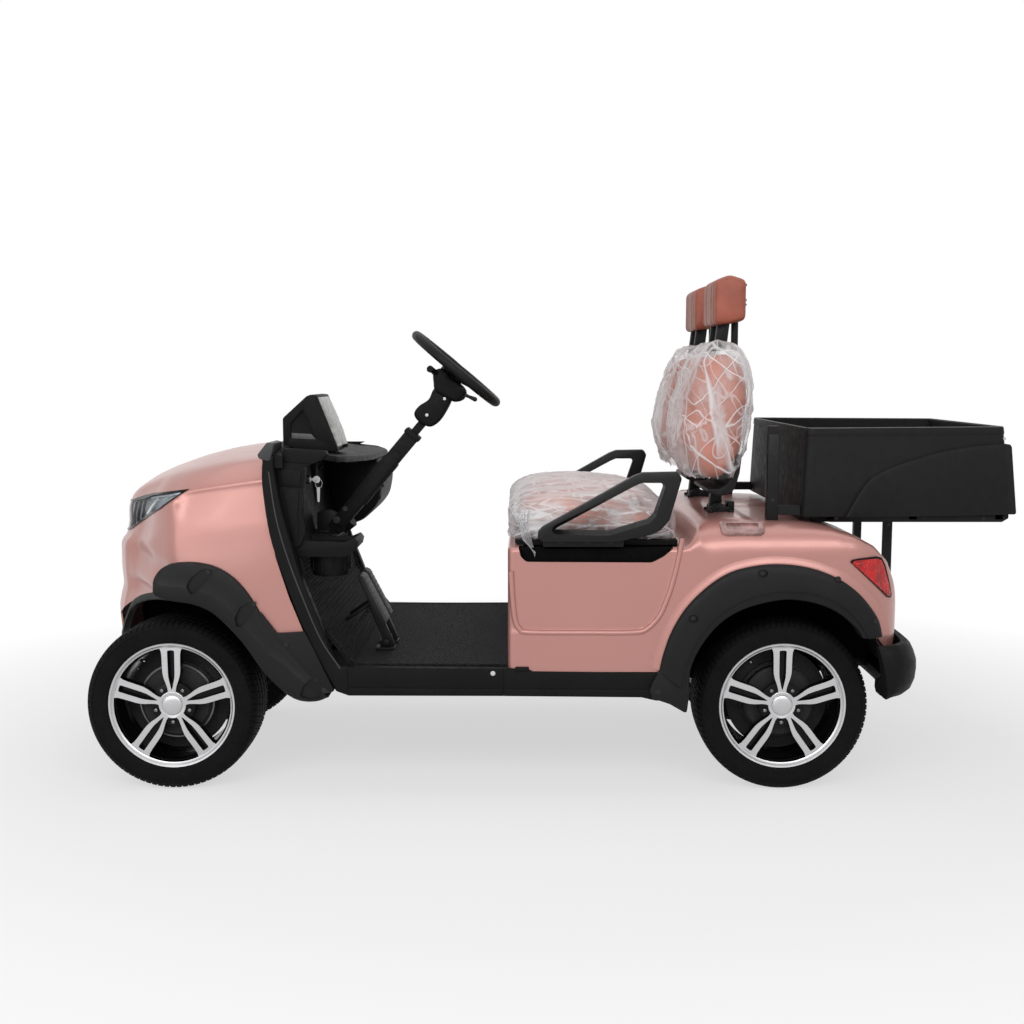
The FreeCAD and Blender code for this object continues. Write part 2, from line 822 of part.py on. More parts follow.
DASH_HALF = SIDE - 50
TRAY_Y = (392, 520)
CUP_X = fore(-500)
CUP_Y = sum(TRAY_Y) / 2
CUP_OUT = dim("cup_radius") + 4
CUP_LOW = 662
CUP_RIM = 776


DASH_TOP = 1036
DASH_FRONT = -348
DASH_FALL = 0.09
POD_FRONT = -357
POD_BACK = -503
POD_HALF = 118


def dash_top(x):
    """The height of the dash's top, which falls a little towards the driver."""
    return DASH_TOP + DASH_FALL * (x - DASH_FRONT)


def make_dash():
    """A dash that is hollow towards the driver, with closed ends."""
    outer = [(DASH_FRONT, DASH_TOP), (-548, dash_top(-548)), (-556, 1009), (-551, 1000), (-392, 1014),
             (-412, 860), (-430, 800), (-566, 778), (-570, 768), (-566, 758), (-416, 776),
             (-398, 800)]
    panel = side_prism(outer, -DASH_HALF, DASH_HALF)
    end = side_prism([(DASH_FRONT, DASH_TOP), (-430, dash_top(-430)), (-442, 996), (-430, 800),
                      (-416, 776), (-398, 800)], DASH_HALF - 30, DASH_HALF)
    dash = fused([panel, end, mirrored(end)]).common(nose_form(SKIN))
    cup_hole = Part.makeCylinder(CUP_OUT + 3, 120, V(CUP_X, CUP_Y, up(720)))
    return shaped("dash_panel", dash.cut([shaft_clearance(34), band_zone(GAP), cup_hole]))


def make_display_pod():
    """The instrument hood over the dash, raked towards the driver, with a sunk screen."""
    middle = dim("driver_offset")
    face = (POD_BACK, dash_top(POD_BACK) + GAP)
    outline = [(POD_FRONT, dash_top(POD_FRONT) + GAP), (POD_FRONT, 1152), (-363, 1163), (-430, 1218),
               (-439, 1221), (-447, 1210), face]
    pod = side_prism(outline, middle - POD_HALF, middle + POD_HALF)
    screen = side_prism([(-456, 1200), (-446, 1197), (-488, 1062), (-498, 1065)],
                        middle - POD_HALF + 14, middle + POD_HALF - 14)
    return shaped("display_pod", pod.cut(screen))


def make_cup_tray():
    """A shelf under the dash with one cup well, beside the driver."""
    tray = side_prism([(-430, 752), (-584, 732), (-592, 750), (-580, 756), (-430, 772)], *TRAY_Y)
    cup = Part.makeCylinder(CUP_OUT, CUP_RIM - CUP_LOW, V(CUP_X, CUP_Y, up(CUP_LOW)))
    well = Part.makeCylinder(dim("cup_radius"), CUP_RIM, V(CUP_X, CUP_Y, up(CUP_LOW + 6)))
    return shaped("cup_holder_tray", fused([tray, cup]).cut(well))


def make_pedals():
    """Brake and accelerator, each a plate on an arm that stands on the toe board."""
    pieces = []
    for y, half in ((330, 42), (205, 34)):
        plate = side_prism([(-574, 640), (-586, 634), (-654, 500), (-642, 494)], y - half, y + half)
        arm = side_prism([(-598, 586), (-612, 560), (-664, 446), (-690, 418), (-690, ON_FLOOR),
                          (-630, ON_FLOOR), (-634, 450)], y - 9, y + 9)
        pieces.append(fused([plate, arm]))
    return shaped("pedals", Part.makeCompound(pieces))


HOUSING_REACH = 88
STEER_SHAFT = 11


def make_column():
    """The column tube on its foot bracket, its boot, clamp and switch housing."""
    foot = COLUMN_FOOT
    tilt = TILT_JOINT
    run = (tilt - foot).normalize()
    radius = dim("column_radius")
    y = dim("driver_offset")
    pieces = [
        rod(foot, tilt, radius),
        rod(foot + run * 190, foot + run * 330, radius + 7),
        rod(tilt - run * 55, tilt + run * 10, 32),
        Part.makeSphere(34, tilt),
        rod(tilt, tilt + STEER_AXIS * HOUSING_REACH, 36),
        side_prism([(-414, 862), (-470, 900), (-560, 905), (-620, 850), (-560, 786), (-470, 773)],
                   y - 40, y + 40),
    ]
    column = fused(pieces)
    inside_dash = side_prism([(-300, 740), (-300, 900), (-412.4, 900), (-412.4, 860), (-430.4, 800),
                              (-566, 778.6), (-620, 770)], y - 60, y + 60)
    bore = rod(tilt + STEER_AXIS * 20, tilt + STEER_AXIS * (HOUSING_REACH + 1), STEER_SHAFT + GAP)
    socket = rod(foot, foot + (GEAR_INPUT - foot) * 0.5, 24)
    return shaped("steering_column", largest(column.cut([bore, socket, inside_dash])))


def make_steering_wheel():
    """A three-spoke wheel drawn about its own axis, and its shaft."""
    grip = dim("steering_grip")
    ring = dim("steering_radius") - grip
    pieces = [
        Part.makeTorus(ring, grip),
        Part.makeCylinder(38, 30, V(0, 0, -34)),
        Part.makeCylinder(STEER_SHAFT, 74, V(0, 0, -104)),
    ]
    for angle in (0, 90, 180):
        spoke = rounded(Part.makeBox(ring, 34, 12, V(0, -17, -14)), 4, lambda edge: along(edge, X_AXIS))
        spoke.rotate(V(0, 0, 0), Z_AXIS, angle + 90)
        pieces.append(spoke)
    wheel = fused(pieces)
    turn = FreeCAD.Rotation(V(0, 1, 0), V(0, 1, 0), STEER_AXIS, "ZYX")
    wheel.Placement = FreeCAD.Placement(WHEEL_CENTRE, turn)
    return shaped("steering_wheel", wheel)


def make_lower_shaft():
    """The jointed shaft from the column's foot to the steering gear."""
    run = GEAR_INPUT - COLUMN_FOOT
    unit = V(run).normalize()
    start = COLUMN_FOOT + unit * 4
    end = GEAR_INPUT - unit * 14
    pieces = [rod(start, end, 9), rod(start, start + unit * 42, 19), rod(end - unit * 42, end, 19)]
    return shaped("lower_shaft", fused(pieces))


# ---------------------------------------------------------------- rear bodywork
DECK_ROLL = 105
DECK_TOP = 852
RIM_TOP = 771
# The pedestal's front in side view, and the plan of the rear corners: station and the distance
# in from the side.
PEDESTAL_TOP = 848
PEDESTAL_FOOT = 835
PEDESTAL_CORNER = 18
TAIL_START = -150
TAIL_BEND = (-312, 60)
TAIL_END = (-374, 170)
TAIL_CENTRE = -386


def rear_plan(out, front, z_from, z_to):
    """The rear body's plan, drawn out by a little and run upwards."""
    half = SIDE + out
    bend_x, bend_in = TAIL_BEND
    end_x, end_in = TAIL_END
    round_off = PEDESTAL_CORNER * (1 - math.sqrt(0.5))
    corner = [
        (front - PEDESTAL_CORNER, half),
        (TAIL_START, half),
        Arc((bend_x - out, half - bend_in), (end_x - out, half - end_in)),
    ]
    tail = Arc((TAIL_CENTRE - out, 0), (end_x - out, end_in - half))
    other = [
        Arc((bend_x - out, bend_in - half), (TAIL_START, -half)),
        (front - PEDESTAL_CORNER, -half),
        Arc((front - round_off, round_off - half), (front, PEDESTAL_CORNER - half)),
        (front, half - PEDESTAL_CORNER),
        Arc((front - round_off, half - round_off), (front - PEDESTAL_CORNER, half)),
    ]
    return plan_prism(corner + [tail] + other, z_from, z_to, aft)


def rear_form(inset=0):
    """The rear body as a closed form, drawn in by an inset: rolled deck edges, rounded tail."""
    half = SIDE - inset
    low = ON_FLOOR - 5 * max(inset, 0)
    steps = [(PEDESTAL_FOOT - inset, low), (PEDESTAL_TOP - inset, RIM_TOP - inset),
             (318 - inset, RIM_TOP - inset), (302 - inset, 782 - inset), (272 - inset, 830 - inset),
             (240 - inset, 846 - inset), (138, DECK_TOP - inset),
             Arc((-60, 832 - inset), (-202 + inset / 2, 778 - inset)),
             Arc((-306 + inset, 694 - inset / 2), (-352 + inset, 610)), (-372 + inset, 500),
             (-366 + inset, 430), (-340 + inset, low)]
    form = side_prism(steps, -half, half, aft)
    roll = DECK_ROLL - inset
    tall = up(DECK_TOP - inset)
    bend = roll * (1 - math.sqrt(0.5))
    right = [
        (-half, 300),
        (half, 300),
        (half, tall - roll),
        Arc((half - bend, tall - bend), (half - roll, tall)),
        (-half + roll, tall),
        Arc((-half + bend, tall - bend), (-half, tall - roll)),
    ]
    across = solid_along(wire_of(right, lambda y, z: V(aft(-420), y, z)), V(1400, 0, 0))
    return form.common(across).common(rear_plan(-inset, PEDESTAL_TOP - inset, 300, 1000))


REAR_ARCH_INNER = 285
REAR_ARCH_RISE = 12
# A raised bead that frames the pedestal's side on three sides.
BEAD_OUTER = [(816, 702), (812, 545), (788, 515), (468, 515), (384, 590), (326, 735)]
BEAD_INNER = [(334, 735), (391, 594), (472, 523), (785, 523), (804, 548), (808, 702)]
BEAD_RISE = 2.5


def make_rear_body():
    """The painted pedestal and deck: one thin moulding, open below and under the seat."""
    shell = rear_form().cut(rear_form(SKIN))
    lip = 26
    half = SIDE - SKIN
    opening = box(aft(330), aft(PEDESTAL_TOP - 46), -(half - lip), half - lip, up(700), up(900))
    arch = Part.makeCylinder(dim("arch_radius"), SIDE, V(REAR_X, REAR_ARCH_INNER, HUB_Z + REAR_ARCH_RISE),
                             Y_AXIS)
    shell = shell.cut([opening, arch, mirrored(arch)])
    bead = side_prism(BEAD_OUTER + BEAD_INNER, SIDE - 3, SIDE + BEAD_RISE, aft)
    return shaped("rear_body", fused([shell, bead, mirrored(bead)]))


def make_rear_flares():
    flare = side_prism(FLARE_REAR, SIDE - 120, SIDE + FLARE_OUT, aft)
    flare = flare.cut(rear_plan(GAP, PEDESTAL_TOP, 200, 900))
    return shaped("rear_flares", both_sides(flare))


LINER_LOW = 420


def make_arch_liners():
    """Half-round black liners inside the bodywork over each wheel."""
    inner = dim("arch_radius") + GAP
    outer = inner + dim("liner_wall")
    pieces = []
    for x, y, z, room in (
        (FRONT_X, ARCH_INNER + 10, HUB_Z, nose_form(SKIN + GAP, back=-630).cut(band_zone(GAP))),
        (REAR_X, REAR_ARCH_INNER + 4, HUB_Z + REAR_ARCH_RISE, rear_form(SKIN + GAP)),
    ):
        ring = Part.makeCylinder(outer, SIDE, V(x, y, z), Y_AXIS)
        ring = ring.cut(Part.makeCylinder(inner, SIDE, V(x, y, z), Y_AXIS))
        upper = box(x - 2 * outer, x + 2 * outer, 0, 2 * SIDE, up(LINER_LOW), up(900))
        pieces.append(largest(ring.common(upper).common(room)))
    return shaped("arch_liners", Part.makeCompound([both_sides(piece) for piece in pieces]))


def make_battery():
    """The battery pack as one plain block on the floor tray under the seat."""
    base = RAIL_Z + dim("floor_thickness") + GAP
    block = box(aft(420), aft(780), -330, 330, base, base + 270)
    return shaped("battery_pack", rounded(block, 8, lambda edge: along(edge, Z_AXIS)))


BUMPER_TOP = 486


def make_rear_bumper():
    """A rounded bumper across the tail, carried on two arms from the rails."""
    outline = [(-374, 478), (-376, BUMPER_TOP), (-402, BUMPER_TOP), (-424, 448), (-434, 400), (-430, 352),
               (-410, 312), (-368, 290), (-318, 298), (-300, 322), (-300, 372), (-352, 392), (-368, 420)]
    reach = SIDE - 60
    bar = side_prism(outline, -reach, reach, aft)
    plan = plan_prism([(-250, reach), (-340, reach), Arc((-406, reach - 90), (-434, reach - 250)),
                       (-434, -reach + 250), Arc((-406, -reach + 90), (-340, -reach)), (-250, -reach)],
                      200, 600, aft)
    bar = bar.common(plan)
    main = dim("rail_spread") / 2
    arm_half = 20
    pieces = [bar]
    for side in (1, -1):
        pieces.append(box(aft(-270), aft(-320), side * (main - arm_half), side * (main + arm_half),
                          up(340), up(370)))
    return shaped("rear_bumper", fused(pieces))


def make_lamps():
    """Wrap-round head lamps in the nose and tail lamps in the rear corners."""
    head = side_prism([(-76, 944), (203, 898), (206, 786)], 120, SIDE + 14)
    head = head.common(nose_form(-3).cut(nose_form(-GAP)))
    shaped("headlights", both_sides(largest(head)))
    tail = side_prism([(-184, 726), (-250, 740), (-298, 720), (-336, 622), (-320, 608)], 380, 640, aft)
    ring = rear_plan(6, PEDESTAL_TOP, 500, 900).cut(rear_plan(GAP, PEDESTAL_TOP, 490, 910))
    shaped("taillights", both_sides(largest(tail.common(ring))))


# ---------------------------------------------------------------- seats
SEAT_HINGE = (822, 781)
HINGE_RADIUS = 5


def make_seat_base():
    """The board under the cushion, hinged at its front edge."""
    half = dim("cushion_half_width")
    low = RIM_TOP + GAP
    board = side_prism([(820, low), (820, 786), (332, 786), (332, low)], -half, half, aft)
    hinge_x, hinge_z = SEAT_HINGE
    barrel = rod(V(aft(hinge_x), -half, up(hinge_z)), V(aft(hinge_x), half, up(hinge_z)), HINGE_RADIUS)
    return shaped("seat_base", fused([board, barrel]))


def make_cushion():
    half = dim("cushion_half_width")
    outline = [(822, 786.4), Arc((836, 862), (796, 915)), Arc((690, 942), (570, 936)),
               Arc((430, 916), (352, 868)), (336, 836), (336, 786.4)]
    crowned = [(-half, 700), (half, 700), (half, 858), Arc((half - 24, 914), (half - 100, 943)),
               (-half + 100, 943), Arc((-half + 24, 914), (-half, 858))]
    across = solid_along(wire_of(crowned, lambda y, z: V(aft(300), y, up(z))), V(600, 0, 0))
    return shaped("seat_cushion", side_prism(outline, -half, half, aft).common(across))


def make_seat_backs():
    """A back cushion for each seat, bulged forward, with flat ends for its posts."""
    outline = [(231, 940), Arc((294, 995), (318, 1075)), Arc((305, 1193), (268, 1305)),
               Arc((251, 1342), (226, 1368)), (150, 1368), Arc((116, 1308), (104, 1240)),
               Arc((119, 1100), (162, 966))]
    middle = dim("seat_back_offset")
    half = dim("seat_back_width") / 2
    back = side_prism(outline, middle - half, middle + half, aft)
    return shaped("seat_backs", both_sides(back))


def make_seat_frame():
    """Deck brackets and posts under the seat backs, stems between backs and headrests."""
    middle = dim("seat_back_offset")
    deck = rear_form(-GAP)
    pieces = []
    for y in (middle - 110, middle + 110):
        post = side_prism([(218, 840), (218, 944.5), (178, 959.4), (178, 840)], y - 16, y + 16, aft)
        plate = side_prism([(226, 840), (226, 860), (150, 864), (150, 840)], y - 30, y + 30, aft)
        pieces.append(post.fuse(plate).cut(deck).removeSplitter())
    for y in (middle - 50, middle + 50):
        pieces.append(side_prism([(206, 1368.4), (196, 1440.6), (160, 1446.6), (170, 1368.4)],
                                 y - 10, y + 10, aft))
    return shaped("seat_back_frame", Part.makeCompound(pieces + [mirrored(piece) for piece in pieces]))


def make_headrests():
    middle = dim("seat_back_offset")
    half = dim("headrest_width") / 2
    tall = dim("headrest_height")
    low = 1436
    pad = side_prism([(226, low), (118, low + 18), (118, low + tall - 8), (176, low + tall + 4),
                      (228, low + tall - 16)], middle - half, middle + half, aft)
    pad = rounded(pad, 22, lambda edge: along(edge, Y_AXIS) and edge.CenterOfMass.z > up(low + 100)
                  and abs(edge.CenterOfMass.x - aft(176)) > 20)
    return shaped("headrests", both_sides(pad))


def make_armrests():
    """A looped arm beside each seat: a thin front bar and a broad rear bar."""
    outline = [(736, 787), (754, 815), (736, 827), (458, 991), (441, 999), (337, 991), (342, 916),
               (380, 857), (516, 787)]
    hole = [(700, 812), (690, 826), (474, 956), (452, 962), (382, 960), (388, 912), (412, 878),
            (532, 812)]
    width = dim("armrest_width")
    outer = SIDE + FLARE_OUT - 2
    arm = side_prism(outline, outer - width, outer, aft).cut(side_prism(hole, outer - width, outer, aft))
    foot = side_prism([(740, 771.4), (740, 800), (500, 800), (500, 771.4)], SIDE - 60, outer - width + 1, aft)
    return shaped("armrests", both_sides(fused([arm, foot])))


# ---------------------------------------------------------------- cargo tub
TUB_FRONT = -48
TUB_Z = up(dim("tub_floor"))


# The tub's skirt stands proud of its wall below this sweep, which rises towards the tail.
SKIRT_SWEEP = [(-195, 845), (-263, 916), (-353, 971), (-474, 1017), (-595, 1048), (-740, 1082)]


def make_cargo_tub():
    """An open moulded tub: narrower at the tail, tapered upwards, with a proud skirt."""
    length = dim("tub_length")
    tall = dim("tub_height")
    wall = dim("tub_wall")
    front, tail = dim("tub_front_half"), dim("tub_tail_half")

    def level(z, front_in, tail_in, end_in, start_in=0):
        """The tub's plan at one level, each side drawn in from the skirt's foot."""
        front_x = aft(TUB_FRONT) - start_in
        tail_x = aft(TUB_FRONT) - length + end_in
        return Part.makePolygon([
            V(front_x, -(front - front_in), z),
            V(front_x, front - front_in, z),
            V(tail_x, tail - tail_in, z),
            V(tail_x, -(tail - tail_in), z),
            V(front_x, -(front - front_in), z),
        ])

    rim = TUB_Z + tall
    body = Part.makeLoft([level(TUB_Z, 3, 12, 17), level(rim, 8, 35, 31)], True, True)
    skirt = Part.makeLoft([level(TUB_Z, 0, 0, 0), level(TUB_Z + 236, 4, 22, 22)], True, True)
    sweep = side_prism(SKIRT_SWEEP + [(-740, 845)], -SIDE, SIDE, aft)
    cavity = Part.makeLoft([level(TUB_Z + wall, 8 + wall, 35 + wall, 31 + wall, wall),
                            level(rim + 1, 8 + wall, 35 + wall, 31 + wall, wall)], True, True)
    return shaped("cargo_tub", fused([body, skirt.common(sweep)]).cut(cavity))


ROOF_BOLT_Z = 1044


def make_cargo_frame():
    """Two deck posts at the tub's front, bored for a roof frame, and the frame on its tail posts."""
    tube = dim("tube")
    low = TUB_Z - tube - GAP
    top = TUB_Z - GAP
    rail_front = aft(TUB_FRONT - 90)
    rail_back = aft(TUB_FRONT) - dim("tub_length") + 50
    half = 330
    post_x = aft(38)
    tail_x = aft(-376)
    tail_thick = 26
    tail_half = 213
    deck = rear_form(-GAP)
    posts = []
    pieces = []
    for x in (rail_front, (rail_front + rail_back) / 2, rail_back):
        pieces.append(box(x, x + tube, -half, half, low, top))
    for side in (1, -1):
        pieces.append(box(rail_front, rail_back, side * half, side * (half - tube), low, top))
        pieces.append(box(tail_x, tail_x - tail_thick, side * tail_half, side * (tail_half - tail_thick),
                          up(BUMPER_TOP) + GAP, top))
        near = side * 470
        far = near - side * tube
        post = box(post_x - tube / 2, post_x + tube / 2, near, far, up(820), up(1130))
        arm = box(post_x, aft(TUB_FRONT) + GAP, near, far, TUB_Z + 6, TUB_Z + 34)
        bolt_hole = rod(V(post_x, near + side, up(ROOF_BOLT_Z)), V(post_x, far - side, up(ROOF_BOLT_Z)),
                        dim("roof_bolt_radius"))
        posts.append(post.fuse(arm).cut([deck, bolt_hole]).removeSplitter())
    pieces.append(box(tail_x, tail_x - tail_thick, -tail_half, tail_half, low, top))
    return shaped("cargo_frame", Part.makeCompound([fused(pieces)] + posts))


def make_deck_handle():
    """The flat latch plate that lies on the deck behind the seats."""
    plate = side_prism([(200, 840), (196, 866), (100, 860), (96, 840)], 440, 470, aft)
    return shaped("deck_handle", plate.cut(rear_form(-GAP)))


for corner, (wheel_x, wheel_side) in WHEELS.items():
    make_tyre(corner, wheel_x, wheel_side)
    make_rim(corner, wheel_x, wheel_side)
make_chassis()
make_front_beam()
make_springs()
make_rear_axle()
make_knuckle("knuckle_left", 1)
make_knuckle("knuckle_right", -1)
make_links()
make_steering_gear()
make_nose_cowl()
make_cowl_band()
make_front_flares()
make_rockers()
make_floor()
make_toe_board()
make_dash()
make_display_pod()
make_cup_tray()
make_pedals()
make_column()
make_steering_wheel()
make_lower_shaft()
make_rear_body()
make_rear_flares()
make_arch_liners()
make_battery()
make_rear_bumper()
make_lamps()
make_seat_base()
make_cushion()
make_seat_backs()
make_seat_frame()
make_headrests()
make_armrests()
make_cargo_tub()
make_cargo_frame()
make_deck_handle()
doc.recompute()

# ---------------------------------------------------------------- checks and export
for item in doc.Objects:
    if "Invalid" in item.State or "Error" in item.State:
        raise RuntimeError("%s is %s" % (item.Label, item.State))
for item in nodes:
    if item.Shape.isNull() or not item.Shape.isValid():
        raise RuntimeError("%s has no valid shape" % item.Label)

os.makedirs("parts", exist_ok=True)
for item in nodes:
    item.Shape.exportStep("parts/%s.step" % item.Label)
print("wrote %d sub-parts" % len(nodes))
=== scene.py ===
"""Looks of the electric utility cart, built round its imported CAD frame."""
import json
import math

import bmesh
import bpy
import numpy as np
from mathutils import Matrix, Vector
from mathutils import noise as field


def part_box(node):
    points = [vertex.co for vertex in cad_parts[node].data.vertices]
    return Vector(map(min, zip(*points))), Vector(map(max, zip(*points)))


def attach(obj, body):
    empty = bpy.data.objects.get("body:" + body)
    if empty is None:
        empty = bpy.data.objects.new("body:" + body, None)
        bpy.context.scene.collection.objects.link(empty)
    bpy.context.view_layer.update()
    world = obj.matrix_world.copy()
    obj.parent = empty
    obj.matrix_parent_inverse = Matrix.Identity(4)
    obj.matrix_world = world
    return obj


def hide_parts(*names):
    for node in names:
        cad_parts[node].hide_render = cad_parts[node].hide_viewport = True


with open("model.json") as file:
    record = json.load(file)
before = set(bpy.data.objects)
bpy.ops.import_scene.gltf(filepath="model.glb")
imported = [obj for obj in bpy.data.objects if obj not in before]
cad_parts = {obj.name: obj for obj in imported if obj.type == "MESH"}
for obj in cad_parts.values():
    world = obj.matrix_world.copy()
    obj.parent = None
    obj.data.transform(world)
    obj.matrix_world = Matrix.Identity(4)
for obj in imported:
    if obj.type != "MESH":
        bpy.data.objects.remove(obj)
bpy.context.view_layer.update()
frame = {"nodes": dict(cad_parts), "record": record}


def middle_of(node):
    low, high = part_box(node)
    return (low + high) / 2


FRONT = middle_of("rim_front_left").x      # x of the front axle
REAR = middle_of("rim_rear_left").x        # x of the rear axle
HUB = middle_of("rim_front_left").z        # height of the hubs
TRACK = middle_of("rim_front_left").y      # y of the wheels' middle
SIDE = 0.586                               # half-width of the bodywork


# ---------------------------------------------------------------- materials
def add_node(tree, kind, inputs, **settings):
    """A new node; each of its inputs is a value or another node's output."""
    node = tree.nodes.new("ShaderNode" + kind)
    for setting, value in settings.items():
        setattr(node, setting, value)
    for socket, value in inputs.items():
        if isinstance(value, bpy.types.NodeSocket):
            tree.links.new(value, node.inputs[socket])
        else:
            node.inputs[socket].default_value = value
    return node


def noise_node(tree, coords, scale, detail=3.0, kind="TexNoise"):
    return add_node(tree, kind, {"Vector": coords, "Scale": scale, "Detail": detail})


def ranged(tree, value, low, high, start=0.3, end=0.7):
    return add_node(tree, "MapRange", {"Value": value, "From Min": start, "From Max": end, "To Min": low,
                                       "To Max": high}).outputs["Result"]


def computed(tree, operation, first, second=0.5, clamp=False):
    return add_node(tree, "Math", {0: first, 1: second}, operation=operation, use_clamp=clamp).outputs[0]


def mixed(tree, share, first, second):
    return add_node(tree, "MixShader", {0: share, 1: first, 2: second}).outputs[0]


def bumped(tree, shader, height, strength, distance):
    node = add_node(tree, "Bump", {"Strength": strength, "Distance": distance, "Height": height})
    tree.links.new(node.outputs["Normal"], shader.inputs["Normal"])


def blank_look(name, **sockets):
    """A new material with its node tree, shader and object coordinates."""
    mat = bpy.data.materials.new(name)
    mat.use_nodes = True
    tree = mat.node_tree
    shader = tree.nodes["Principled BSDF"]
    for socket, value in sockets.items():
        shader.inputs[socket.replace("_", " ")].default_value = value
    return mat, tree, shader, tree.nodes.new("ShaderNodeTexCoord").outputs["Object"]


def finish_of(name, colour, rough, metal=0.0, vary=0.12, patch=6.0, grain=None, cells=False,
              bump=0.2, depth=0.0006, rough_vary=0.08, shine=0.5, coat=None):
    """A surface with patchy colour and roughness, and a fine grain in its bump."""
    mat, tree, shader, coords = blank_look(name, Metallic=metal, Specular_IOR_Level=shine)
    if coat:
        shader.inputs["Coat Weight"].default_value, shader.inputs["Coat Roughness"].default_value = coat
    patches = noise_node(tree, coords, patch, 5.0)
    dark = [c * (1 - vary) for c in colour]
    light = [min(1.0, c * (1 + vary)) for c in colour]
    shade_of = add_node(tree, "Mix", {"Factor": ranged(tree, patches.outputs["Fac"], 0, 1), "A": (*dark, 1),
                                      "B": (*light, 1)}, data_type="RGBA")
    tree.links.new(shade_of.outputs["Result"], shader.inputs["Base Color"])
    wear = noise_node(tree, coords, patch * 7, 4.0)
    tree.links.new(ranged(tree, wear.outputs["Fac"], max(0.02, rough - rough_vary), rough + rough_vary),
                   shader.inputs["Roughness"])
    if grain:
        texture = noise_node(tree, coords, grain, 3.0, "TexVoronoi" if cells else "TexNoise")
        bumped(tree, shader, texture.outputs["Distance" if cells else "Fac"], bump, depth)
    return mat


def lens_look():
    """A thin clear lens: mostly see-through, with a sharp shine and faint streaks."""
    mat, tree, shader, coords = blank_look("lamp_glass", Base_Color=(0.02, 0.02, 0.022, 1), IOR=1.3,
                                           Roughness=0.04, Metallic=0.0)
    clear = add_node(tree, "BsdfTransparent", {"Color": (0.90, 0.92, 0.94, 1)})
    weight = add_node(tree, "LayerWeight", {"Blend": 0.08})
    streaks = ranged(tree, noise_node(tree, coords, 60, 2.0).outputs["Fac"], 0.05, 0.14)
    share = computed(tree, "MAXIMUM", weight.outputs["Facing"], streaks)
    tree.links.new(mixed(tree, share, clear.outputs[0], shader.outputs[0]),
                   tree.nodes["Material Output"].inputs["Surface"])
    return mat


PAINT = finish_of("rose_paint", (0.485, 0.232, 0.204), 0.36, metal=0.35, vary=0.03, patch=2.5,
                  grain=2600, bump=0.10, depth=0.0003, rough_vary=0.03,
                  coat=(0.35, 0.10), shine=0.4)
PLASTIC = finish_of("dark_plastic", (0.0052, 0.0052, 0.0055), 0.55, vary=0.18, patch=9, grain=1500,
                    bump=0.35, depth=0.0004, shine=0.12)
FLARE = finish_of("flare_plastic", (0.0110, 0.0110, 0.0118), 0.48, vary=0.14, patch=7, grain=1300,
                  bump=0.30, depth=0.0004, shine=0.16)
BOX_PLASTIC = finish_of("tub_plastic", (0.0110, 0.0111, 0.0116), 0.6, vary=0.08, patch=5, grain=1100,
                        bump=0.10, depth=0.0004, shine=0.15)
LINER = finish_of("liner_plastic", (0.004, 0.004, 0.004), 0.85, vary=0.2, patch=12, grain=700,
                  bump=0.4, depth=0.0006, shine=0.05)
STEEL = finish_of("black_powder_coat", (0.007, 0.007, 0.0075), 0.45, vary=0.2, patch=10, grain=1800,
                  bump=0.25, depth=0.0003, shine=0.2)
RUBBER = finish_of("tyre_rubber", (0.0055, 0.0055, 0.0057), 0.74, vary=0.22, patch=14, grain=1700,
                   bump=0.3, depth=0.0004, shine=0.09)
IRON = finish_of("cast_iron", (0.16, 0.16, 0.165), 0.5, metal=0.8, vary=0.25, patch=20, grain=900,
                 bump=0.4, depth=0.0006)
GRIP = finish_of("wheel_grip", (0.006, 0.006, 0.006), 0.5, vary=0.2, patch=12, grain=1400,
                 bump=0.2, depth=0.0003, shine=0.16)
BATTERY = finish_of("battery_case", (0.03, 0.03, 0.033), 0.5, vary=0.15, patch=8, grain=900)
GLOSS = finish_of("gloss_black", (0.0025, 0.0025, 0.0025), 0.22, vary=0.2, patch=9, rough_vary=0.05,
                  coat=(0.06, 0.06), shine=0.12)
MACHINED = finish_of("machined_alloy", (0.56, 0.56, 0.57), 0.34, metal=0.85, vary=0.05, patch=8,
                     grain=900, bump=0.12, depth=0.0003, rough_vary=0.06)
LEATHER = finish_of("brown_leather", (0.235, 0.062, 0.026), 0.45, vary=0.16, patch=18, grain=900,
                    cells=True, bump=0.35, depth=0.0006, shine=0.4)
SALMON = finish_of("salmon_vinyl", (0.62, 0.235, 0.165), 0.5, vary=0.12, patch=10, grain=1000,
                   cells=True, bump=0.25, depth=0.0005, shine=0.35)
MAT = finish_of("floor_mat", (0.0130, 0.0130, 0.0135), 0.8, vary=0.92, patch=130, grain=260,
                cells=True, bump=0.8, depth=0.0016, shine=0.12)
RED = finish_of("red_lens", (0.52, 0.006, 0.006), 0.16, vary=0.45, patch=22, grain=36,
                cells=True, bump=0.6, depth=0.010, coat=(0.25, 0.03),
                shine=0.3)
LENS = lens_look()
REFLECTOR = finish_of("lamp_bowl", (0.84, 0.85, 0.84), 0.34, metal=0.2, vary=0.5, patch=26, grain=70,
                      cells=True, bump=0.5, depth=0.004)
CLEAR = finish_of("lamp_lens", (0.62, 0.65, 0.68), 0.12, metal=0.4, vary=0.25, patch=30, grain=160,
                  cells=True, bump=0.3, depth=0.001, coat=(0.8, 0.03))

